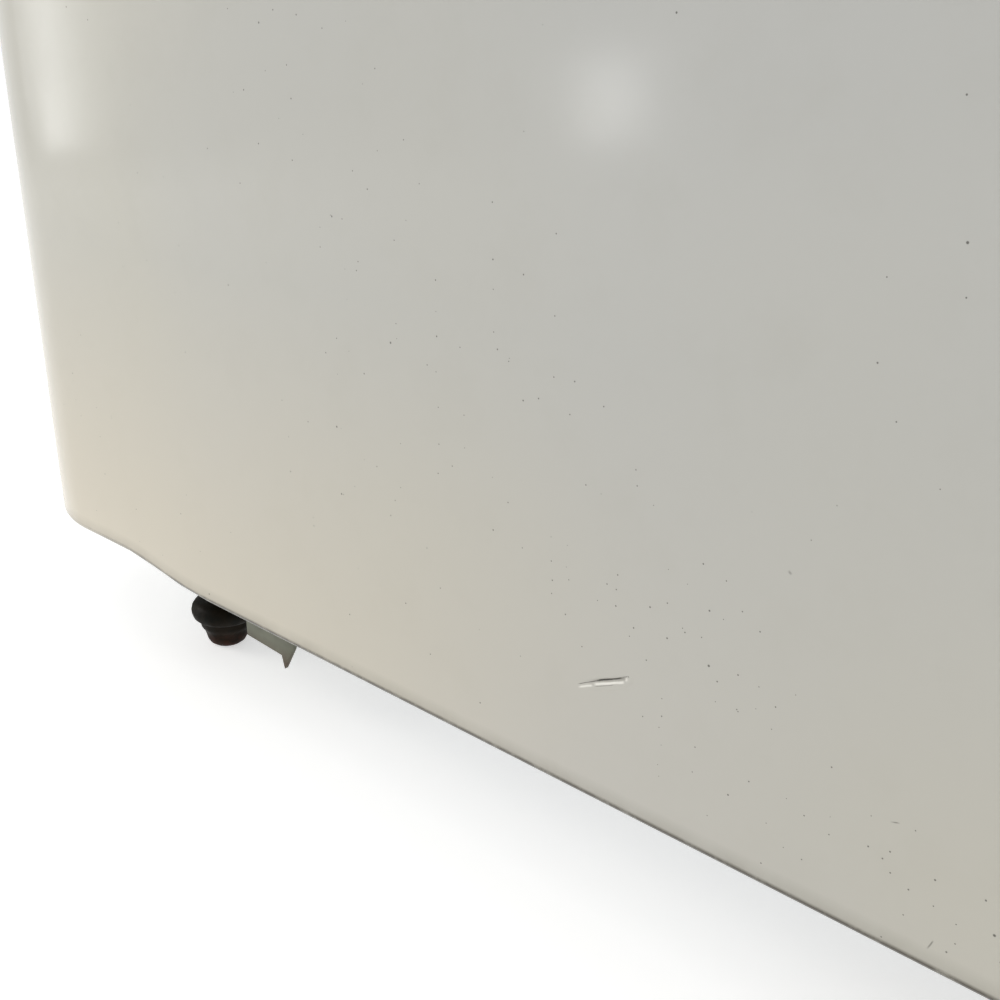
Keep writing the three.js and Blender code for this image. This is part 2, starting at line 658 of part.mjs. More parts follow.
// a plate with a nut for the foot's stem, and a flange that hangs down to a pointed tab.
// half is 1 at the front; at the rear it is -1, the same part turned half round
function footBracket(x, y, half) {
  const low = BRACKET_TOP - BRACKET_THICK;
  const flangeX = x + half * 23;
  const flange = polygon([
    [52, BRACKET_TOP], [52, LEG_GAP - 20], [78.5, LEG_GAP - 21.5], [80.3, LEG_GAP - 28],
    [88, LEG_GAP - 15], [90, BRACKET_TOP],
  ].map(([along, z]) => [y + half * along, z]));
  const span = (a, b) => [a, b].sort((p, q) => p - q);
  const [x0, x1] = span(x - half * 24, flangeX);
  const [y0, y1] = span(y - half * 38, y + half * 90);
  const [f0, f1] = span(flangeX - half * 2, flangeX);
  const plate = box([x0, y0, low], [x1, y1, BRACKET_TOP]);
  const nut = rod(9, "z", [x, y], low - 12, low + 1, 6);
  return union([plate, nut, prism(flange, "x", f0, f1)])
    .subtract(rod(STEM_R + 0.5, "z", [x, y], low - 13, BRACKET_TOP + 1, 16));
}

// ---- assembly ----------------------------------------------------------------------------------------
addPair("side_panel", "enamel", sidePanel());
add("top_cap", "enamel", topCap());
add("front_frame", "enamel", frontFrame());
add("back_panel", "galvanised", backPanel());
add("bottom_pan", "galvanised", bottomPan());
add("base_deck", "galvanised", baseDeck());
add("liner", "liner_enamel", liner());
addPair("insulation", "wool", sideWool());
add("insulation_back", "wool", backWool());
add("insulation_top", "wool", topWool());
add("insulation_bottom", "wool", bottomWool());

add("ice_pan", "galvanised", icePan());
add("ice_rack", "rack_wood", iceRack());
add("pan_support_front", "galvanised", panSupport(ICE_PAN_FRONT + 34, 1));
add("pan_support_rear", "galvanised", panSupport(ICE_PAN_BACK - 60, -1));
add("drain_tube", "lead", drainTube());
add("drain_trap", "lead", drainTrap());

addPair("shelf_rack", "galvanised", shelfRack());
for (const [place, level] of Object.entries(SHELF_LEVELS)) {
  add(`shelf_${place}`, "tinned", shelf(level));
}

for (const door of ["ice", "food"]) {
  const [overlay, opening] = [OVERLAYS[door], OPENINGS[door]];
  add(`${door}_door_shell`, "enamel", doorShell(overlay));
  add(`${door}_door_panel`, "liner_enamel", doorPanel(overlay, opening));
  add(`${door}_door_insulation`, "wool", doorWool(overlay, opening));
  add(`${door}_door_gasket`, "gasket", doorGasket(opening));
  for (const [place, z] of Object.entries(HINGES[door])) {
    add(`${door}_hinge_${place}_frame_leaf`, "chrome", hingeFrameLeaf(z));
    add(`${door}_hinge_${place}_door_leaf`, "chrome", hingeDoorLeaf(z));
    add(`${door}_hinge_${place}_pin`, "chrome", hingePin(z));
  }
  add(`${door}_latch_plate`, "chrome", latchPlate(LATCH_Z[door]));
  add(`${door}_latch_handle`, "chrome", latchHandle(LATCH_Z[door]));
  add(`${door}_latch_keeper`, "chrome", latchKeeper(LATCH_Z[door]));
}

add("drip_drawer_front", "enamel", drawerFront());
add("drip_pan", "galvanised", dripPan());

for (const [row, y] of Object.entries(FOOT_ROWS)) {
  const half = row === "front" ? 1 : -1;
  addPair(`foot_${row}`, "glide", foot(HALF - FOOT_INSET, y));
  addPair(`foot_bracket_${row}`, "primer", footBracket(HALF - FOOT_INSET, y, half));
}

export default icebox;
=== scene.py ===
import math

import bmesh
import bpy
from mathutils import Matrix, Vector
from mathutils.geometry import tessellate_polygon


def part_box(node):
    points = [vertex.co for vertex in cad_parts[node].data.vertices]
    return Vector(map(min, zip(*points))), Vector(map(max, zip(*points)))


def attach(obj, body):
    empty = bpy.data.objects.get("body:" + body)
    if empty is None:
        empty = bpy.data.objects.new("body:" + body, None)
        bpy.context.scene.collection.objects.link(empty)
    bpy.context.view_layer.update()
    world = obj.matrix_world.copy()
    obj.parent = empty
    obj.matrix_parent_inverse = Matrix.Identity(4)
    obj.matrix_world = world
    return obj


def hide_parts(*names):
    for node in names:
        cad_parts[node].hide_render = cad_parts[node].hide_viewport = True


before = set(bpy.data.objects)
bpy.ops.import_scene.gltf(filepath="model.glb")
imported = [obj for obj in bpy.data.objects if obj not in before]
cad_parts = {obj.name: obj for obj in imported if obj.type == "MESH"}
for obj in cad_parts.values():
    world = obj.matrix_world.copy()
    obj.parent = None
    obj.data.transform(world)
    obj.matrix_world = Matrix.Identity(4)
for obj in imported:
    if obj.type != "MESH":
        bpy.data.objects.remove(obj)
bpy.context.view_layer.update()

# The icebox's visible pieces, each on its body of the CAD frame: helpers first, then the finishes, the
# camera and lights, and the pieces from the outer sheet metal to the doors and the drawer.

TAU = 2 * math.pi
MM = 0.001                       # shapes are in millimetres, materials and lights in metres


# ---- lengths from the frame ----
def span(node):
    """Lowest and highest corner of a CAD node, in millimetres."""
    low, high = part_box(node)
    return Vector(low) / MM, Vector(high) / MM


PANEL_LOW, PANEL_HIGH = span("side_panel_right")
FRAME_LOW, FRAME_HIGH = span("front_frame")
CAP_LOW, CAP_HIGH = span("top_cap")
BACK_LOW, BACK_HIGH = span("back_panel")
HALF = PANEL_HIGH.x
FRONT = PANEL_LOW.y
BACK = BACK_HIGH.y
CORNER_X = PANEL_LOW.x           # where the rounded upright corner begins
CORNER_R = HALF - CORNER_X
SHEET = 1.2
SEAM_FLANGE = 14
REAR_FLANGE = 25
REAR_BEND = 2.5
EDGE_Z = PANEL_LOW.z             # hemmed lower edge on the straight run
FRONT_EDGE_Z = FRAME_LOW.z       # lower edge at the front and round the corner
PANEL_TOP = PANEL_HIGH.z
HEM_DROP = 1.7                   # how far the rolled hem hangs below the plain CAD edge
STEP_FROM, STEP_TO = 118, 186    # where the lower edge steps down, behind the face

# ends of the crease on the right side panel: distance behind the face and height above EDGE_Z
CREASE_FROM = Vector((416.0, 41.5))
CREASE_TO = Vector((436.6, 52.4))

ON_AXIS = 0.01                   # radius of the smallest ring, where a turned profile meets its axis


# ---- shapes ----
def circle(sides):
    """(cosine, sine) at even steps round a whole turn."""
    return [(math.cos(TAU * k / sides), math.sin(TAU * k / sides)) for k in range(sides)]


def quarter(count):
    """(cosine, sine) at even steps of a quarter turn, from (1, 0) to (0, 1)."""
    return [(math.cos(TAU / 4 * k / count), math.sin(TAU / 4 * k / count)) for k in range(count + 1)]


def at_y(points, y):
    """Points (x, z) put at one depth."""
    return [Vector((x, y, z)) for x, z in points]


def place(axis, centre, a, b, along):
    """A point on a turned surface round the given axis."""
    x, y, z = centre
    if axis == "y":
        return Vector((x + b, y + along, z + a))
    return Vector((x + a, y + b, z + along))


def rounded_rect(half_u, low, high, radius, steps=8):
    """Points (u, v) round a rectangle with rounded corners, centred on u = 0."""
    points = []
    radius = max(radius, 0.05)
    for turn, (cu, cv) in enumerate([(half_u, low), (half_u, high), (-half_u, high), (-half_u, low)]):
        u = cu - math.copysign(radius, cu)
        v = cv + (radius if cv == low else -radius)
        for k in range(steps + 1):
            angle = (turn - 1 + k / steps) * TAU / 4
            points.append((u + radius * math.cos(angle), v + radius * math.sin(angle)))
    return points


def outline_xz(half, low, high, radius, steps=8, x=0.0):
    """outline(inset) of a rounded rectangle that faces the front and is centred on x."""
    def outline(inset):
        corner = max(radius - inset, 0.3)
        return [(x + u, z) for u, z in rounded_rect(half - inset, low + inset, high - inset, corner, steps)]
    return outline


class Shape:
    """Points in millimetres and faces, gathered piece by piece and turned into one mesh at the end."""

    def __init__(self):
        self.points = []
        self.faces = []

    def grid(self, rows, close_rows=False, close_columns=False):
        """Quads between rows of points; each row has the same number of points."""
        start = len(self.points)
        count = len(rows[0])
        for row in rows:
            self.points.extend(Vector(p) for p in row)
        for i in range(len(rows) - (0 if close_rows else 1)):
            row = start + i * count
            next_row = start + (i + 1) % len(rows) * count
            for j in range(count - (0 if close_columns else 1)):
                after = (j + 1) % count
                self.faces.append((row + j, row + after, next_row + after, next_row + j))
        return start

    def loft(self, loops, cap_first=True):
        """Closed loops joined one to the next, with flat caps on the ends."""
        start = self.grid(loops, close_columns=True)
        count = len(loops[0])
        if cap_first:
            self.faces.append(tuple(range(start + count - 1, start - 1, -1)))
        last = start + (len(loops) - 1) * count
        self.faces.append(tuple(range(last, last + count)))

    def ring(self, loops):
        """Closed loops joined one to the next and the last to the first."""
        self.grid(loops, close_rows=True, close_columns=True)

    def turned(self, profile, centre, axis="z", sides=48):
        """A turned solid; the profile is (radius, height along the axis) and starts and ends on the axis."""
        self.loft([[place(axis, centre, radius * c, radius * s, height) for c, s in circle(sides)]
                   for radius, height in profile])

    def turned_wall(self, profile, centre, sides=40):
        """A turned wall on an upright axis, from a closed profile of (radius, z)."""
        x, y = centre
        self.ring([[(x + radius * c, y + radius * s, z) for radius, z in profile] for c, s in circle(sides)])

    def sleeve(self, outer, inner, low, high, centre):
        """A short tube on an upright axis, its outer rims bevelled."""
        edge = 0.4
        self.turned_wall([(inner, low), (outer - edge, low), (outer, low + edge), (outer, high - edge),
                          (outer - edge, high), (inner, high)], centre)

    def tube(self, path, radius, sides=12, closed=False):
        """A round bar along a list of points."""
        path = [Vector(p) for p in path]
        loops = []
        side = None
        for i, point in enumerate(path):
            before = path[i - 1] if i or closed else path[i]
            after = path[(i + 1) % len(path)] if i < len(path) - 1 or closed else path[i]
            along = (after - before).normalized()
            if side is None:
                side = along.orthogonal().normalized()
            side = (side - along * side.dot(along)).normalized()
            up = along.cross(side)
            loops.append([point + radius * (c * side + s * up) for c, s in circle(sides)])
        if closed:
            self.ring(loops)
        else:
            self.loft(loops)

    def slotted_head(self, centre, axis, radius, height, facing):
        """A round screw head with a straight slot across it: a disc and two halves of a dome on it."""
        top = facing * height
        base = top * 0.4
        rim = radius * 0.95
        half_slot = radius * 0.12
        self.turned([(ON_AXIS, 0), (radius, 0), (radius, base * 0.7), (rim, base), (ON_AXIS, base)],
                    centre, axis, sides=24)
        for side in (1, -1):
            loops = []
            for k in range(5):
                a = TAU / 4 * k / 4
                r = max(rim * math.cos(a * 0.8), radius * 0.3)
                height_here = base + (top - base) * math.sin(a)
                limit = math.asin(half_slot / r)
                angles = [limit + (math.pi - 2 * limit) * i / 12 for i in range(13)]
                loops.append([place(axis, centre, r * math.cos(t), side * r * math.sin(t), height_here)
                              for t in angles])
            self.loft(loops)

    def plate(self, outline, y_back, y_front, edge):
        """A flat plate facing -Y with its front edge rounded; outline(inset) gives its (x, z) points."""
        loops = [at_y(outline(0), y_back)]
        for c, s in quarter(4):
            loops.append(at_y(outline(edge * (1 - c)), y_front + edge * (1 - s)))
        self.loft(loops)

    def block(self, low, high, edge, axis="z"):
        """A bar with rounded edges along one axis and slightly rounded ends."""
        low, high = Vector(low), Vector(high)
        along = "xyz".index(axis)
        u, v = [i for i in range(3) if i != along]
        edge = min(edge, 0.22 * min(high[u] - low[u], high[v] - low[v]))   # or the loops would cross
        start, end = low[along], high[along]
        loops = []
        for inset, level in ((edge, start), (edge * 0.3, start + edge * 0.3), (0, start + edge),
                             (0, end - edge), (edge * 0.3, end - edge * 0.3), (edge, end)):
            loop = []
            half_u = (high[u] - low[u]) / 2 - inset
            for pu, pv in rounded_rect(half_u, low[v] + inset, high[v] - inset, edge, 3):
                point = Vector((0, 0, 0))
                point[u] = (low[u] + high[u]) / 2 + pu
                point[v] = pv
                point[along] = level
                loop.append(point)
            loops.append(loop)
        self.loft(loops)

    def mesh(self, name):
        """The mesh in metres, with points that coincide joined and its faces turned outwards."""
        mesh = bpy.data.meshes.new(name)
        mesh.from_pydata([p * MM for p in self.points], [], self.faces)
        work = bmesh.new()
        work.from_mesh(mesh)
        bmesh.ops.remove_doubles(work, verts=work.verts, dist=2e-6)
        bmesh.ops.dissolve_degenerate(work, edges=work.edges, dist=1e-7)
        bmesh.ops.recalc_face_normals(work, faces=work.faces)
        work.to_mesh(mesh)
        work.free()
        return mesh


# ---- pieces ----
def linked(name, data):
    """A new object in the scene."""
    made = bpy.data.objects.new(name, data)
    bpy.context.scene.collection.objects.link(made)
    return made


def apply_modifiers(made):
    bpy.context.view_layer.update()
    graph = bpy.context.evaluated_depsgraph_get()
    mesh = bpy.data.meshes.new_from_object(made.evaluated_get(graph))
    made.modifiers.clear()
    made.data = mesh


def piece(shape, name, body, look, replaces=(), sharp=35, bevel=None):
    """Makes the object, with its finish, on its CAD body; edges sharper than so many degrees stay sharp."""
    mesh = shape if isinstance(shape, bpy.types.Mesh) else shape.mesh(name)
    made = linked(name, mesh)
    if bevel:
        round_edges(made, bevel)
    for polygon in made.data.polygons:
        polygon.use_smooth = True
    work = bmesh.new()
    work.from_mesh(made.data)
    for edge in work.edges:
        edge.smooth = len(edge.link_faces) != 2 or edge.calc_face_angle(0) < math.radians(sharp)
    work.to_mesh(made.data)
    work.free()
    made.data.materials.clear()
    made.data.materials.append(look)
    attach(made, body)
    if replaces:
        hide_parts(*replaces)
    return made


def round_edges(made, width):
    modifier = made.modifiers.new("edge", "BEVEL")
    modifier.width = width * MM
    modifier.segments = 3
    modifier.limit_method = "ANGLE"
    modifier.angle_limit = math.radians(40)
    apply_modifiers(made)


def softened(node, body, look, width):
    """The CAD solid of a node with its edges rounded, in its place."""
    work = bmesh.new()
    work.from_mesh(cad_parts[node].data)
    bmesh.ops.remove_doubles(work, verts=work.verts, dist=1e-6)
    bmesh.ops.dissolve_limit(work, angle_limit=math.radians(1), verts=work.verts, edges=work.edges)
    bmesh.ops.recalc_face_normals(work, faces=work.faces)
    mesh = bpy.data.meshes.new(node)
    work.to_mesh(mesh)
    work.free()
    return piece(mesh, f"finished_{node}", body, look, (node,), bevel=width)


def combined(meshes, operation, name):
    """The first mesh with the others joined to it (UNION) or cut out of it (DIFFERENCE)."""
    made = [linked("part", mesh) for mesh in meshes]
    for other in made[1:]:
        step = made[0].modifiers.new("step", "BOOLEAN")
        step.operation = operation
        step.solver = "EXACT"
        step.object = other
    apply_modifiers(made[0])
    mesh = made[0].data
    mesh.name = name
    for other in made:
        bpy.data.objects.remove(other)
    return mesh


def fused(shapes, name):
    """One mesh from several solids that run into each other."""
    return combined([shape.mesh("part") for shape in shapes], "UNION", name)


def screws(name, body, look, heads, radius, height, facing=-1):
    """Slotted screw heads that face the front (-1) or the back (1), as one piece."""
    shape = Shape()
    for head in heads:
        shape.slotted_head(head, "y", radius, height, facing)
    return piece(shape, name, body, look, sharp=30)


# ---- materials ----
class Look:
    """A node material built one node at a time."""

    def __init__(self, name):
        self.material = bpy.data.materials.new(name)
        self.material.use_nodes = True
        self.tree = self.material.node_tree
        self.shader = self.tree.nodes["Principled BSDF"]
        self.position = self.add("ShaderNodeTexCoord").outputs["Object"]

    def add(self, kind, inputs=None, **settings):
        node = self.tree.nodes.new(kind)
        for key, value in settings.items():
            setattr(node, key, value)
        for key, value in (inputs or {}).items():
            self.feed(node.inputs[key], value)
        return node

    def feed(self, socket, value):
        if isinstance(value, bpy.types.NodeSocket):
            self.tree.links.new(value, socket)
        else:
            socket.default_value = value

    def set(self, **values):
        for key, value in values.items():
            self.feed(self.shader.inputs[key.replace("_", " ")], value)

    def stretched(self, scale):
        node = self.add("ShaderNodeMapping", {"Vector": self.position, "Scale": scale})
        return node.outputs["Vector"]

    def noise(self, scale, detail=3.0, roughness=0.5, vector=None):
        node = self.add("ShaderNodeTexNoise", {
            "Vector": vector or self.position, "Scale": scale, "Detail": detail, "Roughness": roughness})
        return node.outputs["Fac"]

    def ramp(self, value, low, high, at_low=0.0, at_high=1.0, kind="LINEAR"):
        """From one value to another between low and high, and level beyond them."""
        node = self.add("ShaderNodeMapRange", {
            "Value": value, "From Min": low, "From Max": high, "To Min": at_low, "To Max": at_high},
            interpolation_type=kind)
        return node.outputs["Result"]

    def calc(self, operation, *values):
        node = self.add("ShaderNodeMath", operation=operation)
        for socket, value in zip(node.inputs, values):
            self.feed(socket, value)
        return node.outputs["Value"]

    def times(self, a, b):
        return self.calc("MULTIPLY", a, b)

    def plus(self, a, b):
        return self.calc("ADD", a, b)

    def minus(self, a, b):
        return self.calc("SUBTRACT", a, b)

    def axis(self, letter):
        node = self.add("ShaderNodeSeparateXYZ", {"Vector": self.position})
        return node.outputs[letter]

    def mix(self, amount, a, b):
        node = self.add("ShaderNodeMix", data_type="RGBA", blend_type="MIX")
        amount_socket, a_socket, b_socket, mixed = 0, 6, 7, 2
        self.feed(node.inputs[amount_socket], amount)
        self.feed(node.inputs[a_socket], a)
        self.feed(node.inputs[b_socket], b)
        return node.outputs[mixed]

    def bump(self, height, strength, distance, normal=None):
        node = self.add("ShaderNodeBump", {"Height": height, "Strength": strength, "Distance": distance})
        if normal:
            self.feed(node.inputs["Normal"], normal)
        return node.outputs["Normal"]


def rgb(r, g, b):
    """A linear colour from 8-bit sRGB values."""
    def linear(v):
        v /= 255
        return v / 12.92 if v <= 0.04045 else ((v + 0.055) / 1.055) ** 2.4
    return (linear(r), linear(g), linear(b), 1.0)


def enamel(name, clean, aged, plane, specks, worn=None):
    """Fired enamel: off-white, unevenly yellowed, with a rippled gloss and dark pinholes."""
    look = Look(name)
    blotch = look.ramp(look.noise(2.4, 2.0), 0.4, 0.62)
    colour = look.mix(blotch, clean, aged)
    haze = look.ramp(look.noise(30.0, 4.0, 0.65), 0.5, 0.85, 0.0, 0.10)
    colour = look.mix(haze, colour, rgb(150, 146, 132))
    rough = look.ramp(look.noise(11.0, 3.0), 0.3, 0.7, 0.12, 0.18)
    # worn, when given, also paints light and shade: a lighter patch low at the front, shade along the hem,
    # shadow and highlight along the crease
    if worn:
        colour = worn(look, colour)
    colour, rough = pinholes(look, plane, colour, rough, specks)
    ripple = look.bump(look.noise(7.0, 1.0), 0.3, 0.0009)
    normal = look.bump(look.noise(95.0, 1.0), 0.12, 0.00012, ripple)
    look.set(Base_Color=colour, Roughness=rough, Normal=normal, IOR=1.5)
    return look.material


def pinholes(look, plane, colour, rough, amount):
    """Dark pinholes under a millimetre across, in loose drifts, on the two axes of a face."""
    split = look.add("ShaderNodeSeparateXYZ", {"Vector": look.position})
    across, up = split.outputs[plane[0]], split.outputs[plane[1]]
    flat = look.add("ShaderNodeCombineXYZ", {"X": across, "Y": up}).outputs["Vector"]
    drift = look.ramp(look.noise(6.0, 3.0, 0.6, flat), 0.42, 0.66)
    drift = look.times(drift, look.ramp(across, -0.12, 0.3, 0.12, 1.0))
    for scale, width, share in ((60.0, 0.030, 0.30), (150.0, 0.055, 0.26)):
        cell = look.add("ShaderNodeTexVoronoi", {"Vector": flat, "Scale": scale}, voronoi_dimensions="2D")
        chance = look.add("ShaderNodeSeparateColor", {"Color": cell.outputs["Color"]}).outputs[0]
        kept = look.calc("LESS_THAN", chance, look.times(drift, share * amount))
        size = look.ramp(look.calc("FRACT", look.times(chance, 37.0)), 0.0, 1.0, width * 0.45, width)
        edge = look.calc("DIVIDE", cell.outputs["Distance"], size)
        mask = look.times(look.ramp(edge, 0.6, 1.15, 1.0, 0.0), kept)
        colour = look.mix(look.times(mask, 0.8), colour, rgb(50, 47, 40))
        rough = look.plus(rough, look.times(mask, 0.4))
    return colour, rough


def hem_wear_and_shading(look, colour):
    """Yellowing and painted light low on the panel, a painted shade band above the hem, the hem's painted
    shade line, and the crease's painted shadow and highlight.
    """
    height = look.minus(look.axis("Z"), EDGE_Z * MM)
    behind = look.minus(look.axis("Y"), FRONT * MM)
    # painted light and yellowing: the panel is painted lighter and warmer low down towards the front
    low = look.ramp(height, 0.0, 0.16, 1.0, 0.0)
    yellowing_and_light = look.times(low, look.ramp(behind, 0.05, 0.5, 0.55, 0.1))
    colour = look.mix(yellowing_and_light, colour, rgb(222, 209, 184))
    step = look.ramp(behind, STEP_FROM * MM, STEP_TO * MM, (FRONT_EDGE_Z - EDGE_Z) * MM, 0.0, "SMOOTHSTEP")
    above_hem = look.plus(look.minus(height, step), HEM_DROP * MM)
    # painted shade: a soft darker band just above the hem, where the sheet rolls under
    shade = look.times(look.ramp(above_hem, 0.0030, 0.0095, 1.0, 0.0),
                       look.ramp(look.noise(60.0, 3.0), 0.3, 0.7, 0.22, 0.40))
    colour = look.mix(shade, colour, rgb(112, 106, 92))
    # painted shade: a thin dark line along the hem's lower edge, fainter towards the front
    under = look.times(look.ramp(above_hem, 0.0029, 0.0043, 1.0, 0.0),
                       look.ramp(look.noise(140.0, 5.0, 0.7), 0.34, 0.52, 0.6, 1.0))
    under = look.times(under, look.ramp(behind, 0.08, 0.17, 0.25, 1.0))
    colour = look.mix(under, colour, rgb(66, 60, 46))
    return crease_shading_and_marks(look, colour, behind, height)


def crease_shading_and_marks(look, colour, behind, height):
    """Painted shadow (dark) and painted highlight (pale) lines along the crease, and a few dark hair marks
    away from it.

    Each mark is a line from start to end, in millimetres behind the face and above EDGE_Z."""
    # the pale crease lines are painted highlight on the crease's lower lip and the dark ones along it
    # painted shadow in its groove; the last three dark lines are hair marks
    dark, pale = rgb(40, 37, 31), rgb(236, 234, 226)
    marks = [((415.4, 40.9), (422.0, 44.1), 0.34, 0.7, pale),
             ((422.0, 44.5), (435.2, 50.4), 0.36, 0.85, pale),
             ((434.5, 50.9), (436.2, 51.8), 0.50, 0.9, pale),
             ((415.2, 42.0), (424.0, 46.5), 0.15, 0.7, dark),
             ((422.6, 45.9), (433.6, 51.1), 0.30, 0.9, dark),
             ((432.8, 50.8), (436.4, 53.2), 0.17, 0.55, dark),
             ((422.4, 43.8), (431.0, 47.9), 0.15, 0.4, dark),
             ((544.0, 6.6), (545.6, 10.6), 0.22, 0.5, dark),
             ((528.6, 42.0), (531.6, 42.9), 0.22, 0.5, dark),
             ((490.0, 107.4), (491.4, 106.4), 0.40, 0.8, dark)]
    wobble = look.times(look.minus(look.noise(240.0, 2.0), 0.5), 0.0005)
    for start, end, half_width, strength, tone in marks:
        start, end = Vector(start), Vector(end)
        along = (end - start).normalized()
        length = (end - start).length * MM
        du = look.minus(behind, start.x * MM)
        dv = look.minus(height, start.y * MM)
        u = look.plus(look.times(du, along.x), look.times(dv, along.y))
        v = look.minus(look.times(dv, along.x), look.times(du, along.y))
        v = look.calc("ABSOLUTE", look.plus(v, wobble))
        line = look.ramp(v, half_width * MM * 0.5, half_width * MM * 1.4, 1.0, 0.0)
        inside = look.times(look.ramp(u, 0.0, 0.0016, 0.0, 1.0),
                            look.ramp(u, length - 0.0010, length, 1.0, 0.0))
        colour = look.mix(look.times(look.times(line, inside), strength), colour, tone)
    return colour


def bright_metal(name, colour, dull, rough, spots):
    """Plated or bare metal: fine scratches, dulled patches and dark spots."""
    look = Look(name)
    patch = look.ramp(look.noise(18.0, 4.0, 0.6), 0.4, 0.68)
    tone = look.mix(patch, colour, dull)
    spot = look.times(look.ramp(look.noise(260.0, 3.0, 0.7), 0.62, 0.72), spots)
    tone = look.mix(spot, tone, rgb(70, 58, 44))
    scratch = look.noise(60.0, 2.0, 0.5, look.stretched((1.0, 1.0, 14.0)))
    roughness = look.ramp(patch, 0.0, 1.0, rough, rough + 0.18)
    roughness = look.plus(roughness, look.times(spot, 0.35))
    look.set(Base_Color=tone, Roughness=roughness, Normal=look.bump(scratch, 0.08, 0.0002), Metallic=1.0)
    return look.material


def galvanised(name, light, dark, rough):
    """Zinc with its crystal spangle, dulled and with white bloom in places."""
    look = Look(name)
    cell = look.add("ShaderNodeTexVoronoi", {"Vector": look.position, "Scale": 95.0})
    grain = look.add("ShaderNodeSeparateColor", {"Color": cell.outputs["Color"]}).outputs[0]
    tone = look.mix(look.ramp(grain, 0.0, 1.0, 0.1, 0.9), light, dark)
    bloom = look.ramp(look.noise(16.0, 5.0, 0.65), 0.52, 0.74, 0.0, 0.55)
    tone = look.mix(bloom, tone, rgb(196, 198, 196))
    roughness = look.plus(look.ramp(grain, 0.0, 1.0, rough, rough + 0.12), look.times(bloom, 0.3))
    normal = look.bump(look.noise(110.0, 3.0), 0.1, 0.0003)
    look.set(Base_Color=tone, Roughness=roughness, Normal=normal, Metallic=0.85)
    return look.material


def slat_wood(name):
    """Bare slats: grain along Y, worn and dark with damp in places."""
    look = Look(name)
    rings = look.noise(26.0, 5.0, 0.6, look.stretched((5.0, 0.35, 5.0)))
    fine = look.noise(120.0, 4.0, 0.6, look.stretched((6.0, 0.25, 6.0)))
    tone = look.mix(look.ramp(rings, 0.35, 0.65), rgb(164, 124, 82), rgb(120, 84, 52))
    tone = look.mix(look.ramp(fine, 0.5, 0.7, 0.0, 0.5), tone, rgb(82, 56, 36))
    damp = look.ramp(look.noise(9.0, 3.0), 0.5, 0.7, 0.0, 0.45)
    tone = look.mix(damp, tone, rgb(78, 66, 54))
    look.set(Base_Color=tone, Roughness=look.ramp(fine, 0.3, 0.7, 0.45, 0.7))
    look.set(Normal=look.bump(fine, 0.35, 0.0005))
    return look.material


def loose_wool(name):
    look = Look(name)
    strands = look.noise(140.0, 8.0, 0.75, look.stretched((1.0, 3.0, 1.0)))
    tone = look.mix(look.ramp(strands, 0.3, 0.7), rgb(150, 140, 112), rgb(196, 186, 156))
    look.set(Base_Color=tone, Roughness=0.95, Normal=look.bump(strands, 1.0, 0.003))
    return look.material


def rubber(name):
    look = Look(name)
    tone = look.mix(look.ramp(look.noise(34.0, 5.0, 0.6), 0.4, 0.7), rgb(46, 45, 43), rgb(84, 80, 74))
    look.set(Base_Color=tone, Roughness=look.ramp(look.noise(70.0, 3.0), 0.3, 0.7, 0.55, 0.8))
    look.set(Normal=look.bump(look.noise(300.0, 4.0), 0.25, 0.0003))
    return look.material


def rusty_iron(name):
    """Blackened iron, rusted where it meets the floor."""
    look = Look(name)
    blotch = look.ramp(look.noise(90.0, 6.0, 0.65), 0.4, 0.62)
    colour = look.mix(blotch, rgb(8, 9, 4), rgb(26, 19, 9))
    near_floor = look.ramp(look.axis("Z"), 0.002, 0.011, 1.0, 0.0)
    rust = look.times(near_floor, look.ramp(look.noise(160.0, 5.0, 0.7), 0.35, 0.6))
    colour = look.mix(rust, colour, rgb(52, 24, 10))
    rough = look.ramp(look.noise(120.0, 4.0), 0.3, 0.7, 0.42, 0.75)
    normal = look.bump(look.noise(260.0, 6.0, 0.7), 0.5, 0.0006)
    look.set(Base_Color=colour, Roughness=rough, Normal=normal, Specular_IOR_Level=0.1)
    return look.material


def bracket_paint(name):
    """Grey-green paint, rusted through along its lower edge."""
    look = Look(name)
    colour = look.mix(look.ramp(look.noise(60.0, 4.0), 0.4, 0.65), rgb(104, 106, 90), rgb(84, 84, 70))
    low = look.ramp(look.axis("Z"), 0.024, 0.034, 1.0, 0.0)
    rust = look.times(low, look.ramp(look.noise(200.0, 5.0, 0.7), 0.3, 0.55, 0.4, 1.0))
    colour = look.mix(rust, colour, rgb(66, 46, 26))
    normal = look.bump(look.noise(300.0, 4.0), 0.2, 0.0003)
    look.set(Base_Color=colour, Roughness=0.55, Normal=normal, Metallic=0.1)
    return look.material


CLEAN, AGED = rgb(178, 178, 174), rgb(181, 179, 169)
CABINET_ENAMEL = enamel("cabinet_enamel", CLEAN, AGED, "YZ", 2.4, hem_wear_and_shading)
FRONT_ENAMEL = enamel("front_enamel", CLEAN, AGED, "XZ", 0.6)
TOP_ENAMEL = enamel("top_enamel", CLEAN, AGED, "XY", 0.8)
DOOR_ENAMEL = enamel("door_enamel", rgb(182, 182, 179), rgb(184, 182, 174), "XZ", 0.5)
LINER_ENAMEL = enamel("liner_enamel", rgb(226, 228, 226), rgb(218, 219, 212), "XZ", 0.25)
GALVANISED = galvanised("galvanised_steel", rgb(178, 182, 184), rgb(152, 157, 160), 0.36)
ZINC = galvanised("ice_tray_zinc", rgb(168, 172, 174), rgb(140, 145, 148), 0.42)
TINNED = bright_metal("tinned_wire", rgb(202, 202, 200), rgb(166, 166, 162), 0.24, 0.5)
DRAIN_METAL = bright_metal("drain_metal", rgb(152, 154, 156), rgb(118, 120, 122), 0.42, 0.4)
CHROME = bright_metal("bright_chrome", rgb(214, 216, 218), rgb(188, 188, 186), 0.10, 0.45)
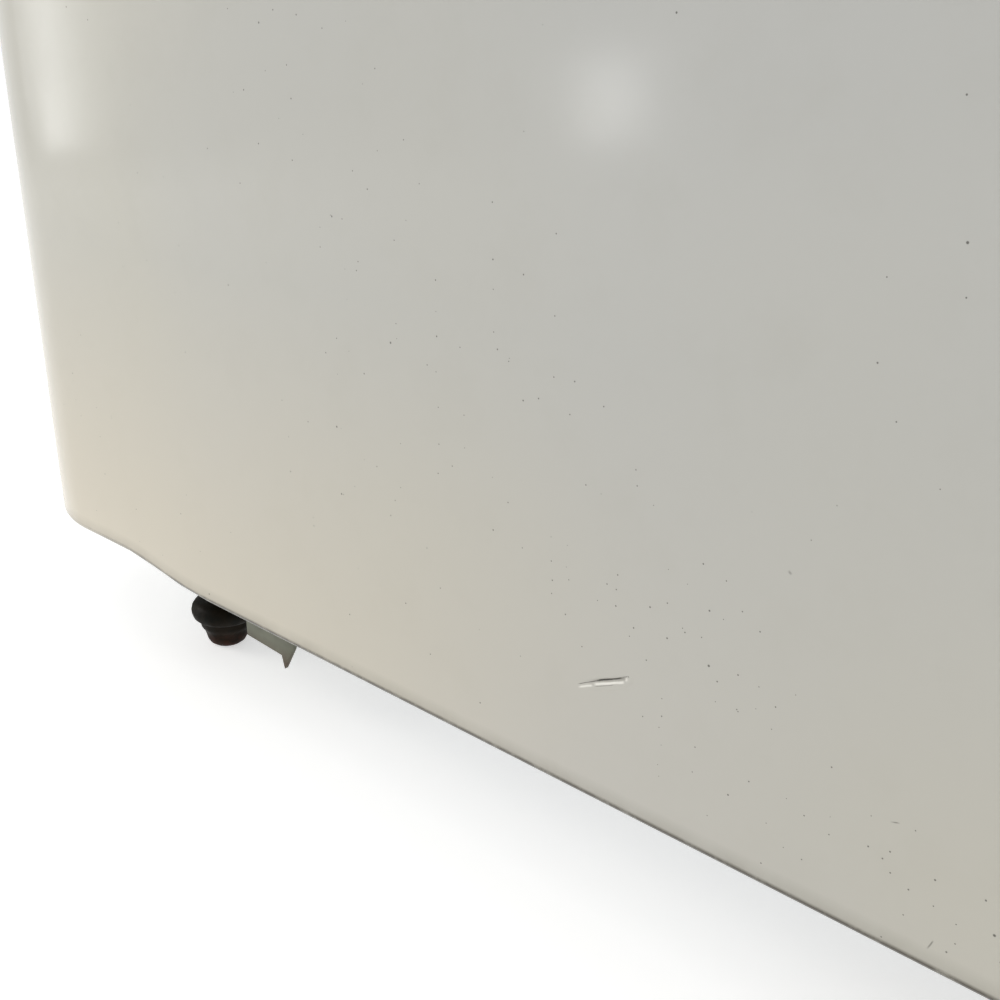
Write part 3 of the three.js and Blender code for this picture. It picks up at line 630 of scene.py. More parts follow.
WOOD = slat_wood("rack_wood")
WOOL = loose_wool("mineral_wool")
RUBBER = rubber("gasket_rubber")
GLIDE = rusty_iron("glide_iron")
BRACKET = bracket_paint("bracket_paint")


# ---- camera, light and floor ----
def set_camera():
    data = bpy.data.cameras.new("view")
    data.lens = 43.2
    data.sensor_width = 36.0
    data.clip_start = 0.01
    data.clip_end = 60.0
    camera = linked("view", data)
    from_edge = Vector((281.5, 640.2, 246.2))   # from the virtual sharp lower front corner of the side panel
    camera.location = (Vector((HALF, FRONT, EDGE_Z)) + from_edge) * MM
    aim = Vector((-0.6857, -0.6348, -0.3561))
    camera.rotation_euler = aim.to_track_quat("-Z", "Y").to_euler()
    bpy.context.scene.camera = camera


def area_light(name, location, target, size, power, colour=(1, 1, 1)):
    data = bpy.data.lights.new(name, "AREA")
    data.shape = "RECTANGLE"
    data.size, data.size_y = size
    data.energy = power
    data.color = colour
    light = linked(name, data)
    light.location = location
    light.rotation_euler = (Vector(target) - Vector(location)).to_track_quat("-Z", "Y").to_euler()
    light.visible_camera = False


def set_stage():
    """A floor that is flat near the object and rises to a far rim, a pale world and six lights."""
    shape = Shape()
    rim = [(12000, 0), (20000, 600), (26000, 1800), (30000, 4000)]
    around = circle(64)
    shape.grid([[(radius * c, radius * s, z) for c, s in around] for radius, z in rim], close_columns=True)
    shape.faces.append(tuple(range(len(around))))
    floor = linked("floor", shape.mesh("floor"))
    look = Look("floor")
    look.set(Base_Color=(0.80, 0.80, 0.79, 1), Roughness=0.9)
    look.set(Emission_Color=(1, 1, 1, 1), Emission_Strength=0.54)
    floor.data.materials.append(look.material)

    world = bpy.data.worlds.new("studio")
    world.use_nodes = True
    background = world.node_tree.nodes["Background"].inputs
    background["Color"].default_value = (1, 1, 1, 1)
    background["Strength"].default_value = 0.60
    bpy.context.scene.world = world
    bpy.context.scene.view_settings.view_transform = "Standard"

    area_light("overhead", (0.4, -0.3, 3.2), (0, 0, 0.6), (2.6, 2.6), 6)
    area_light("front_window", (1.9, -2.3, 1.7), (0.2, 0, 0.5), (1.1, 1.4), 25, (1.0, 0.97, 0.94))
    area_light("left_fill", (-3.0, -1.2, 1.8), (0, 0, 0.7), (2.0, 2.0), 9)
    area_light("back_fill", (-1.5, 3.2, 1.8), (0, 0, 0.7), (2.0, 2.0), 9)
    area_light("strip_reflection", (1.5, -2.33, 1.12), (0.37, -0.19, 1.12), (0.05, 2.1), 2.6)
    area_light("lamp_reflection", (1.5, -0.73, 0.22), (0.37, 0.14, 0.28), (0.09, 0.11), 0.12)


set_camera()
set_stage()


# ---- side panels ----
def smooth(value, low, high):
    """0 below low, 1 above high and an even curve between."""
    t = min(max((value - low) / (high - low), 0.0), 1.0)
    return t * t * (3 - 2 * t)


def spread(low, high, step, dense=()):
    """Values from low to high, a step apart, and closer together in the dense stretches (from, to, step)."""
    values = [low]
    while values[-1] < high - 1e-6:
        here = values[-1]
        size = step
        for start, end, fine in dense:
            if start - 1e-6 <= here < end:
                size = fine
            elif here < start < here + size:
                size = start - here
        values.append(min(here + size, high))
    return values


def arc(x, y, radius, start, count):
    """(point, outward normal) after each even step of a quarter turn round (x, y), from start degrees."""
    steps = []
    for k in range(1, count + 1):
        a = math.radians(start + 90 * k / count)
        normal = Vector((math.cos(a), math.sin(a), 0))
        steps.append((Vector((x + radius * math.cos(a), y + radius * math.sin(a), 0)), normal))
    return steps


def panel_line(dense):
    """The outside of a side panel in plan: seam flange, rounded corner, run back and rear flange.

    Each station is (point, outward normal, distance behind the cabinet's face)."""
    seam_bend = 1.6
    line = [(Vector((CORNER_X, FRONT + y, 0)), Vector((-1, 0, 0)), 0)
            for y in (SEAM_FLANGE, SEAM_FLANGE * 0.5, seam_bend)]
    line += [(point, normal, 0)
             for point, normal in arc(CORNER_X + seam_bend, FRONT + seam_bend, seam_bend, 180, 4)[:3]]
    line += [(point, normal, CORNER_R * (1 + normal.y))
             for point, normal in arc(CORNER_X, FRONT + CORNER_R, CORNER_R, -90, 28)]
    rear = PANEL_HIGH.y - FRONT
    line += [(Vector((HALF, FRONT + s, 0)), Vector((1, 0, 0)), s)
             for s in spread(CORNER_R, rear - REAR_BEND, 22, dense)[1:]]
    line += [(point, normal, rear)
             for point, normal in arc(HALF - REAR_BEND, PANEL_HIGH.y - REAR_BEND, REAR_BEND, 0, 4)]
    line.append((Vector((HALF - REAR_FLANGE, PANEL_HIGH.y, 0)), Vector((0, 1, 0)), rear))
    return line


def crease_depth(s, height):
    """How far the sheet is pushed in, s behind the face and so high above EDGE_Z; never outwards."""
    along = (CREASE_TO - CREASE_FROM).normalized()
    length = (CREASE_TO - CREASE_FROM).length
    offset = Vector((s, height)) - CREASE_FROM
    u = offset.dot(along) / length
    v = -along.y * offset.x + along.x * offset.y
    v -= 0.5 * math.sin(u * 5.0) * (1 - abs(u - 0.5))
    ends = smooth(u, -0.04, 0.45) * (1 - smooth(u, 0.86, 1.03))
    groove = 0.95 * math.exp(-((v - 0.35) / 0.62) ** 2)
    lip = -0.36 * math.exp(-((v + 1.25) / 0.85) ** 2)
    fold = 0.10 * math.exp(-((v + 2.9) / 0.5) ** 2) * smooth(u, 0.2, 0.4)
    knob = -0.3 * math.exp(-((u - 1.0) / 0.05) ** 2 - ((v + 0.6) / 0.8) ** 2) if u >= 0.5 else 0.0
    centre = (CREASE_FROM + CREASE_TO) / 2
    away = Vector((s, height)) - centre - Vector((2, -6))
    basin = 0.45 * math.exp(-(away.x / 30) ** 2 - (away.y / 22) ** 2)
    return max(ends * (groove + lip + fold) + knob + basin, 0.0)


def lower_edge(s):
    """Height of the panel's lower edge, which steps down to the hem behind the front corner."""
    return FRONT_EDGE_Z - HEM_DROP - (FRONT_EDGE_Z - EDGE_Z) * smooth(s, STEP_FROM, STEP_TO)


def side_panel(name, mirror):
    """The enamelled sheet with its rolled lower edge; the left one is mirrored and has no crease."""
    roll = 4.0
    roll_steps = 5
    crease_s, crease_top = (380, 480), 100       # the crease's basin has run out beyond these
    dense_s = () if mirror else ((404, 412, 1.6), (412, 441, 0.55), (441, 450, 1.6))
    dense_z = () if mirror else ((30, 37, 1.4), (37, 57, 0.5), (57, 66, 1.4))
    heights = spread(roll, PANEL_TOP - EDGE_Z, 26, dense_z)

    def turned_in(point, normal, reach, z):
        """A point of the turned-in lower edge, mitred where the sheet is bent in plan."""
        moved = point - normal * reach
        return Vector((min(max(moved.x, CORNER_X + reach), HALF - reach),
                       min(max(moved.y, FRONT + reach), PANEL_HIGH.y - reach), z))

    def column(point, normal, s):
        """One line of points from the inner end of the turned-in edge round the roll and up the panel."""
        foot = lower_edge(s)
        flange = 3 + 7 * smooth(s, STEP_FROM, STEP_TO)
        points = [turned_in(point, normal, roll + flange * share, foot) for share in (1, 0.5)]
        for k in range(roll_steps):
            a = math.radians(90 - 90 * k / roll_steps)
            reach, rise = roll - roll * math.cos(a), roll - roll * math.sin(a)
            points.append(turned_in(point, normal, reach, foot + rise))
        for height in heights:
            level = foot + roll if height == roll else EDGE_Z + height
            creased = not mirror and crease_s[0] < s < crease_s[1] and height <= crease_top
            push = crease_depth(s, height) if creased else 0.0
            points.append(point - normal * push + Vector((0, 0, level)))
        return points

    shape = Shape()
    shape.grid([column(*station) for station in panel_line(dense_s)])
    mesh = shape.mesh(name)
    if mirror:
        mesh.transform(Matrix.Scale(-1, 4, (1, 0, 0)))
        mesh.flip_normals()
    made = linked("sheet", mesh)
    run = max(mesh.polygons, key=lambda face: abs(face.normal.x) * face.area)
    outward = run.normal.x * (-1 if mirror else 1) > 0
    thick = made.modifiers.new("sheet", "SOLIDIFY")
    thick.thickness = SHEET * MM
    thick.offset = -1 if outward else 1          # the sheet's thickness always goes inwards
    apply_modifiers(made)
    solid = made.data
    bpy.data.objects.remove(made)
    return solid


for side, mirror in (("right", False), ("left", True)):
    node = f"side_panel_{side}"
    piece(side_panel(node, mirror), f"enamelled_{node}", "cabinet", CABINET_ENAMEL, (node,))


# ---- feet ----
def foot_shape(node):
    """A turned foot: a narrow pad, a waist, the round collar and the stem up into the cabinet."""
    low, high = span(node)
    shape = Shape()
    shape.turned([
        (ON_AXIS, 0), (5.5, 0.0), (7.6, 0.3), (9.2, 1.5), (10.2, 3.2), (10.8, 5.5), (11.4, 8.0), (12.2, 9.4),
        (13.0, 10.6), (13.3, 12.0), (13.1, 13.4), (13.6, 14.4), (15.2, 15.0), (16.6, 16.4), (17.3, 18.6),
        (17.4, 20.2), (16.9, 22.2), (15.6, 24.0), (13.4, 25.2), (10.0, 25.8), (6.4, 26.2), (5.0, 26.6),
        (5.0, high.z - 1), (4.0, high.z), (ON_AXIS, high.z),
    ], ((low.x + high.x) / 2, (low.y + high.y) / 2, 0), sides=64)
    return shape


CORNERS = [f"{row}_{side}" for row in ("front", "rear") for side in ("right", "left")]
for corner in CORNERS:
    node = f"foot_{corner}"
    piece(foot_shape(node), f"turned_{node}", f"{corner}_foot", GLIDE, (node,))


# ---- front frame ----
def opening_of(door):
    """Half width, lowest and highest z of a doorway, from the door's gasket, which overlaps it all round."""
    lap = 14
    low, high = span(f"{door}_door_gasket")
    return high.x - lap, low.z + lap, high.z - lap


OPENING_R = 25
FOOD = opening_of("food")
ICE = opening_of("ice")
DRAWER_LOW, DRAWER_HIGH = span("drip_drawer_front")
DRAWER_LAP = 12
DRAWER = (FOOD[0], DRAWER_LOW.z + DRAWER_LAP, DRAWER_HIGH.z - DRAWER_LAP)
RETURN_BACK = FRAME_HIGH.y


def holed_plate(shape, rim, holes, y, facing):
    """Flat faces between an outer loop and the holes in it, at one y, facing the front (1) or back (-1)."""
    loops = [at_y(rim, y)] + [at_y(hole, y) for hole in holes]
    start = len(shape.points)
    for loop in loops:
        shape.points.extend(loop)
    flat = [[Vector((p.x, p.z, 0)) for p in loop] for loop in loops]
    for triangle in tessellate_polygon(flat):
        shape.faces.append(tuple(start + corner for corner in triangle[::facing]))


def front_frame():
    """The enamelled sheet round the doorways, with side flanges and a bent lip round each opening."""
    bend = 3.0
    shape = Shape()
    edge = outline_xz(FRAME_HIGH.x, FRAME_LOW.z, FRAME_HIGH.z, 1.0, 2)
    openings = [outline_xz(half, low, high, OPENING_R) for half, low, high in (DRAWER, FOOD, ICE)]
    inside = FRONT + SHEET
    flange = FRONT + SEAM_FLANGE
    rims = [hole(-bend) for hole in openings]
    holed_plate(shape, edge(0.8), rims, FRONT, 1)
    holed_plate(shape, edge(SHEET), rims, inside, -1)
    shape.grid([at_y(edge(inset), y) for inset, y in (
        (0.8, FRONT), (0.25, FRONT + 0.25), (0, FRONT + 0.8), (0, flange), (SHEET, flange),
        (SHEET, inside))], close_columns=True)
    reach = bend - SHEET
    for hole in openings:
        loops = [at_y(hole(-bend + bend * s), FRONT + bend - bend * c) for c, s in quarter(6)]
        loops += [at_y(hole(0), RETURN_BACK), at_y(hole(-SHEET), RETURN_BACK)]
        loops += [at_y(hole(-bend + reach * s), inside + reach - reach * c) for c, s in quarter(6)[::-1]]
        shape.grid(loops, close_columns=True)
    return shape


piece(front_frame(), "enamelled_front_frame", "cabinet", FRONT_ENAMEL, ("front_frame",))


# ---- top cap ----
def cap_plan(inset, back):
    """The cabinet's outline seen from above, closed across the back."""
    arc_y = FRONT + CORNER_R
    radius = CORNER_R - inset
    right = [(HALF - inset, y) for y in (back, back - 20, (back + arc_y) / 2)]
    right += [(CORNER_X + radius * c, arc_y - radius * s) for c, s in quarter(16)]
    return right + [(-x, y) for x, y in reversed(right)]


def top_cap():
    """A pan turned upside down, with a round upper edge and a groove above its lower edge."""
    low, top = CAP_LOW.z, CAP_HIGH.z
    round_r, sheet = 30, 2
    groove = low + 7
    outside = [(0.8, low), (0.2, low + 0.4), (0, low + 1.2), (0, groove - 1), (0.5, groove - 0.5),
               (1.3, groove + 0.6), (1.5, groove + 1.4), (1.3, groove + 2.2), (0.5, groove + 3.3),
               (0, groove + 3.8)]
    outside += [(round_r * (1 - c), top - round_r + round_r * s) for c, s in quarter(10)]
    outside += [(round_r + 8, top), (round_r + 30, top)]
    reach = round_r - sheet
    inside = [(round_r + 8, top - sheet)]
    inside += [(sheet + reach * (1 - c), top - round_r + reach * s) for c, s in quarter(8)[::-1]]
    inside.append((sheet, low))
    loops = []
    for profile, back in ((outside, BACK), (inside, BACK - sheet)):
        loops += [[(x, y, z) for x, y in cap_plan(inset, back)] for inset, z in profile[::-1]]
    shape = Shape()
    shape.loft(loops)
    return shape


piece(top_cap(), "enamelled_top_cap", "cabinet", TOP_ENAMEL, ("top_cap",))


# ---- back panel ----
BACK_HEIGHT = BACK_HIGH.z - BACK_LOW.z
BEAD_LEVELS = [BACK_LOW.z + share * BACK_HEIGHT for share in (0.2, 0.5, 0.8)]
BEAD_REACH = HALF - 90           # where a bead's round ends begin
SCREW_SIDE = HALF - 13
SCREW_LEVELS = [BACK_LOW.z + 14 + i * (BACK_HEIGHT - 28) / 6 for i in range(7)]
SCREW_ACROSS = [-HALF / 2, 0, HALF / 2]
SCREW_HEAD = 1.2
BACK_SCREWS = [(side * SCREW_SIDE, z) for z in SCREW_LEVELS for side in (-1, 1)]
BACK_SCREWS += [(x, z) for x in SCREW_ACROSS for z in (SCREW_LEVELS[0], SCREW_LEVELS[-1])]


def bead_depth(x, z):
    """Three level stiffening beads with round ends and a dimple round each screw, pressed into the back."""
    width, depth = 11, 2.4
    dimple_floor, dimple_rim = 5.5, 10
    deep = 0.0
    for level in BEAD_LEVELS:
        past = max(abs(x) - BEAD_REACH, 0)
        away = math.hypot(past, z - level) / width
        if away < 1:
            deep = max(deep, depth * (0.5 + 0.5 * math.cos(math.pi * away)) ** 0.7)
    for screw_x, screw_z in BACK_SCREWS:
        away = math.hypot(x - screw_x, z - screw_z)
        deep = max(deep, (SCREW_HEAD + 0.1) * (1 - smooth(away, dimple_floor, dimple_rim)))
    return deep


def back_panel():
    """A galvanised sheet, its grid finer over the beads and the dimples."""
    fine_x = [(x - 10, x + 10, 2.0) for x in (-SCREW_SIDE, *SCREW_ACROSS, SCREW_SIDE)]
    fine_x += [(-HALF + 74, -HALF + 100, 2.5), (HALF - 100, HALF - 74, 2.5)]
    fine_z = [(level - 12, level + 12, 2) for level in BEAD_LEVELS]
    fine_z += [(level - 10, level + 10, 2) for level in SCREW_LEVELS]
    xs = spread(BACK_LOW.x, BACK_HIGH.x, 24, sorted(fine_x))
    zs = spread(BACK_LOW.z, BACK_HIGH.z, 40, sorted(fine_z))
    shape = Shape()
    outer = [[(x, BACK - bead_depth(x, z), z) for z in zs] for x in xs]
    inner = [[(x, y - SHEET, z) for x, y, z in column] for column in outer]
    shape.grid(outer)
    shape.grid(inner)
    for rim in ([c[0] for c in outer], [c[-1] for c in outer], outer[0], outer[-1]):
        shape.grid([rim, [(x, y - SHEET, z) for x, y, z in rim]])
    return shape


piece(back_panel(), "pressed_back_panel", "cabinet", GALVANISED, ("back_panel",),
      sharp=50)
screws("back_panel_screws", "cabinet", ZINC,
       [(x, BACK - SCREW_HEAD - 0.05, z) for x, z in BACK_SCREWS], 4.2, SCREW_HEAD, facing=1)

# ---- pieces that keep the CAD solid's shape, with their edges rounded ----
for node, body, slot, look, width in (
        ("bottom_pan", "cabinet", "galvanised_steel", GALVANISED, 0.6),
        ("base_deck", "cabinet", "galvanised_steel", GALVANISED, 0.4),
        ("pan_support_front", "cabinet", "galvanised_steel", GALVANISED, 0.8),
        ("pan_support_rear", "cabinet", "galvanised_steel", GALVANISED, 0.8),
        ("shelf_rack_right", "cabinet", "galvanised_steel", GALVANISED, 0.7),
        ("shelf_rack_left", "cabinet", "galvanised_steel", GALVANISED, 0.7),
        ("ice_pan", "cabinet", "ice_tray_zinc", ZINC, 0.35),
        ("drip_pan", "drip_drawer", "ice_tray_zinc", ZINC, 0.35),
        ("ice_rack", "cabinet", "rack_wood", WOOD, 1.6)):
    softened(node, body, look, width)
for corner in CORNERS:
    softened(f"foot_bracket_{corner}", "cabinet", BRACKET, 0.5)


def rim_path(low, high, z, inset, radius):
    """A level path round a box seen from above, with rounded corners."""
    x = (low.x + high.x) / 2
    half = (high.x - low.x) / 2 - inset
    return [(x + px, y, z) for px, y in rounded_rect(half, low.y + inset, high.y - inset, radius, 6)]


PAN_RIM_R = 1.6
for node, body in (("ice_pan", "cabinet"), ("drip_pan", "drip_drawer")):
    low, high = span(node)
    rim = Shape()
    rim.tube(rim_path(low, high, high.z - PAN_RIM_R, PAN_RIM_R, 4), PAN_RIM_R, 10, closed=True)
    piece(rim, f"{node}_rolled_rim", body, ZINC)

for name in ("right", "left", "back", "top", "bottom"):
    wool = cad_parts[f"insulation_{name}"].data
    wool.materials.clear()
    wool.materials.append(WOOL)

# ---- liner ----
LINER_LOW, LINER_HIGH = span("liner")
LINER_FLOOR = LINER_LOW.z + SHEET
TRAP_LOW, TRAP_HIGH = span("drain_trap")
DRAIN = ((TRAP_LOW.x + TRAP_HIGH.x) / 2, (TRAP_LOW.y + TRAP_HIGH.y) / 2)
TUBE_R = 9


def liner():
    """A tub with rounded corners and a flange at the front that meets the frame's returns."""
    round_r = 24
    flange = RETURN_BACK + 0.3
    outer = outline_xz(LINER_HIGH.x, LINER_LOW.z, LINER_HIGH.z, round_r + SHEET)
    holes = [outline_xz(half, low, high, OPENING_R)(0) for half, low, high in (FOOD, ICE)]
    shape = Shape()
    holed_plate(shape, outer(0), holes, flange, 1)
    holed_plate(shape, outer(SHEET), holes, flange + SHEET, -1)
    for hole in holes:
        shape.grid([at_y(hole, flange), at_y(hole, flange + SHEET)], close_columns=True)
    for skin in (0, SHEET):
        back = LINER_HIGH.y - skin
        loops = [at_y(outer(skin), flange + skin)]
        loops += [at_y(outer(round_r * (1 - c) + skin), back - round_r + round_r * s) for c, s in quarter(7)]
        loops.append(at_y(outer(round_r + 60 + skin), back))
        shape.loft(loops, cap_first=False)
    return shape


drain_cutter = Shape()
cut_r, cut_reach = TUBE_R + 0.6, 5
drain_cutter.turned([(ON_AXIS, LINER_LOW.z - cut_reach), (cut_r, LINER_LOW.z - cut_reach),
                     (cut_r, LINER_LOW.z + cut_reach), (ON_AXIS, LINER_LOW.z + cut_reach)],
                    (*DRAIN, 0), sides=40)
drained = combined([liner().mesh("liner"), drain_cutter.mesh("cutter")], "DIFFERENCE", "liner")
piece(drained, "enamelled_liner", "cabinet", LINER_ENAMEL, ("liner",))

grommet = Shape()
grommet.turned_wall([(TUBE_R + out, LINER_FLOOR + up) for out, up in (
    (0.3, 0.1), (6, 0.1), (6.4, 1), (5.2, 2.4), (2.4, 3.4), (0.3, 3.6))], DRAIN, sides=48)
piece(grommet, "drain_grommet", "cabinet", RUBBER)

# ---- drain ----
tube_low, tube_high = span("drain_tube")
bore, flare = 7.5, 16            # the tube's inside, and the radius of its funnel's rim
drain_tube = Shape()
drain_tube.turned_wall([(bore, tube_low.z), (TUBE_R, tube_low.z)] + [(r, tube_high.z - down) for r, down in (
    (TUBE_R, 9), (TUBE_R + 0.8, 8), (flare - 1, 2.6), (flare, 1.4), (flare, 0.4), (flare - 0.6, 0),
    (flare - 2, 0.4), (bore + 0.6, 7.4), (bore, 8.4))], DRAIN)
piece(drain_tube, "turned_drain_tube", "cabinet", DRAIN_METAL, ("drain_tube",))
softened("drain_trap", "cabinet", DRAIN_METAL, 0.3)


# ---- shelves ----
def shelf(node):
    """A round-barred rim, two cross bars and thirteen wires bent down over the rim at their ends."""
    low, high = span(node)
    bar, cross_bar, wire, count = 3.0, 2.2, 1.9, 13
    corner_r = 7
    rim_z = low.z + bar
    shape = Shape()
    shape.tube(rim_path(low, high, rim_z, bar, corner_r), bar, 12, closed=True)
    wire_z = rim_z + bar + wire - 0.7
    front, rear = low.y + 1.6, high.y - 1.6
    for i in range(1, count + 1):
        x = low.x + i * (high.x - low.x) / (count + 1)
        shape.tube([(x, front, wire_z - 3.4), (x, front + 0.9, wire_z - 1.2), (x, front + 3, wire_z),
                    (x, rear - 3, wire_z), (x, rear - 0.9, wire_z - 1.2), (x, rear, wire_z - 3.4)], wire, 8)
    for share in (0.34, 0.67):
        y = low.y + share * (high.y - low.y)
        shape.tube([(low.x + bar, y, rim_z + 0.6), (high.x - bar, y, rim_z + 0.6)], cross_bar, 8)
    return shape


for level in ("bottom", "middle", "top"):
    node = f"shelf_{level}"
    piece(shelf(node), f"wire_{node}", f"{level}_shelf", TINNED, (node,))


# ---- doors ----
def hollow_slab(low, high, radius, edge, back):
    """A pressed shell with rounded front edges, open at the back, with a narrow turned-in flange."""
    outline = outline_xz(high.x, low.z, high.z, radius)
    face = low.y
    flange = 9
    reach = edge - SHEET
    half_high = (high.z - low.z) / 2 - 8
    loops = [at_y(outline(min(inset, high.x * 0.9, half_high)), face) for inset in (160, 60, 30)]
    loops += [at_y(outline(edge * (1 - c)), face + edge * (1 - s)) for c, s in quarter(9)[::-1]]
    loops += [at_y(outline(inset), back - up) for inset, up in (
        (0, 0.8), (0.3, 0.2), (1, 0), (flange, 0), (flange, SHEET), (SHEET, SHEET))]
    loops += [at_y(outline(SHEET + reach * (1 - c)), face + SHEET + reach * (1 - s)) for c, s in quarter(9)]
    loops.append(at_y(outline(min(60, half_high)), face + SHEET))
    shape = Shape()
    shape.loft(loops)
    return shape


def door_panel(low, high, opening):
    """The door's inner sheet: a flange, and a dished plug that stands into the doorway."""
    flange = outline_xz(high.x, low.z, high.z, 24)
    half, hole_low, hole_high = opening
    gap = 10
    plug = outline_xz(half - gap, hole_low + gap, hole_high - gap, OPENING_R)
    foot_r, round_r, panel = 5, 9, 46

    def surface(thick):
        """Loops from the flange's rim to the middle, on the inner side (0) or the outer side (SHEET)."""
        base, top = low.y + SHEET - thick, high.y - thick
        crown_r = round_r - thick
        loops = [at_y(outline, base) for outline in (
            flange(0.2 if thick else 0), flange(3), plug(thick - foot_r))]
        loops += [at_y(plug(foot_r * s - foot_r + thick), base + foot_r - foot_r * c)
                  for c, s in quarter(5)[1:]]
        loops += [at_y(plug(thick + crown_r * (1 - c)), top - crown_r + crown_r * s) for c, s in quarter(5)]
        loops += [at_y(plug(panel + further), top - drop) for further, drop in (
            (0, 0), (3, 0.6), (6, 2.2), (9, 2.8), (60, 2.8))]
        return loops

    shape = Shape()
    shape.loft(surface(0)[::-1] + surface(SHEET))
    return shape


def door_wool(low, high, opening):
    """The wool that fills the door, with a block that stands into the back of the plug."""
    half, hole_low, hole_high = opening
    slab_back, plug_back = high.y - 27, high.y - 5
    gap, corner_r = 16, 20
    wide = outline_xz(high.x, low.z, high.z, corner_r)
    plug = outline_xz(half - gap, hole_low + gap, hole_high - gap, corner_r)
    shape = Shape()
    shape.loft([at_y(wide(6), low.y), at_y(wide(0), low.y + 4), at_y(wide(0), slab_back - 3),
                at_y(wide(3), slab_back), at_y(plug(-2), slab_back), at_y(plug(0), slab_back + 2),
                at_y(plug(0), plug_back - 4), at_y(plug(4), plug_back)])
    return shape


def gasket(low, high):
    """A rubber strip round the doorway, with a soft lip towards the frame."""
    outline = outline_xz(high.x, low.z, high.z, 24)
    front, rear = low.y, high.y
    deep = rear - front
    width = 16
    profile = [(0.3, front), (width - 0.3, front), (width, front + deep * 0.3),
               (width - 1.2, front + deep * 0.6), (width - 3, rear - 0.2), (width - 6, rear),
               (6, rear), (3.2, rear - 0.4), (2.4, front + deep * 0.5), (0.6, front + deep * 0.4),
               (0, front + deep * 0.2)]
    shape = Shape()
    shape.ring([at_y(outline(inset), y) for inset, y in profile])
    return shape


def hinge(door, place_name):
    """Two leaves whose knuckles share a headed pin; the middle knuckle belongs to the door's leaf."""
    name = f"{door}_hinge_{place_name}"
    leaf_low, leaf_high = span(f"{name}_frame_leaf")
    door_low = span(f"{name}_door_leaf")[0]
    pin_low, pin_high = span(f"{name}_pin")
    axis_x, axis_y = (pin_low.x + pin_high.x) / 2, (pin_low.y + pin_high.y) / 2
    mid = (pin_low.z + pin_high.z) / 2
    thick, gap, knuckle = 3, 0.25, 11.5
    knuckle_r, pin_r, bore_r = 5.5, 2.5, 2.9
    frame_gap = 12                               # the frame's knuckles begin this far from the middle

    plate_low, plate_high = axis_x + 3, leaf_high.x
    solids = [Shape()]
    solids[0].plate(outline_xz((plate_high - plate_low) / 2, leaf_low.z, leaf_high.z, 3,
                               x=(plate_low + plate_high) / 2), leaf_high.y, leaf_high.y - thick, 1.2)
    for low, high in ((leaf_low.z, mid - frame_gap), (mid + frame_gap, leaf_high.z)):
        arm, ring = Shape(), Shape()
        arm.block((axis_x - 1, axis_y + pin_r + 1.5, low), (axis_x + 4, leaf_high.y, high), 0.8)
        ring.sleeve(knuckle_r, bore_r, low, high, (axis_x, axis_y))
        solids += [arm, ring]
    piece(fused(solids, name), f"{name}_bright_frame_leaf", "cabinet", CHROME,
          (f"{name}_frame_leaf",))

    face = span(f"{door}_door_shell")[0].y - 0.3
    plate_low, plate_high = door_low.x, axis_x - 17
    plate, strap, ring = Shape(), Shape(), Shape()
    plate.plate(outline_xz((plate_high - plate_low) / 2, mid - 24, mid + 24, 7,
                           x=(plate_low + plate_high) / 2), face, face - thick, 1.4)
    strap.block((plate_high - 4, face - thick, mid - knuckle), (axis_x - pin_r - 1, face, mid + knuckle),
                0.8, axis="x")
    ring.sleeve(knuckle_r, bore_r, mid - knuckle + gap, mid + knuckle - gap, (axis_x, axis_y))
    piece(fused([plate, strap, ring], name), f"{name}_bright_door_leaf", f"{door}_door",
          CHROME, (f"{name}_door_leaf",))

    pin = Shape()
    head = 4.5
    tip = [(ON_AXIS, 0), (1.6, 0.1), (3.2, 0.7), (head - 0.4, 2.0), (head, 2.9), (head - 0.3, 3.5),
           (pin_r, 3.7)]
    pin.turned([(r, pin_low.z + h) for r, h in tip] + [(r, pin_high.z - h) for r, h in reversed(tip)],
               (axis_x, axis_y, 0), sides=32)
    piece(pin, f"turned_{name}_pin", "cabinet", CHROME, (f"{name}_pin",))

    heads = [(door_low.x + x, face - thick - 0.1, mid + z) for x in (14, 42) for z in (-15, 15)]
    screws(f"{name}_door_screws", f"{door}_door", CHROME, heads, 3.6, 1.4)
    heads = [(axis_x + 10, leaf_high.y - thick - 0.1, mid + z) for z in (-21, 0, 21)]
    screws(f"{name}_frame_screws", "cabinet", CHROME, heads, 3.0, 1.2)


def bezier(points, t):
    points = [Vector(p) for p in points]
    while len(points) > 1:
        points = [a.lerp(b, t) for a, b in zip(points, points[1:])]
    return points[0]


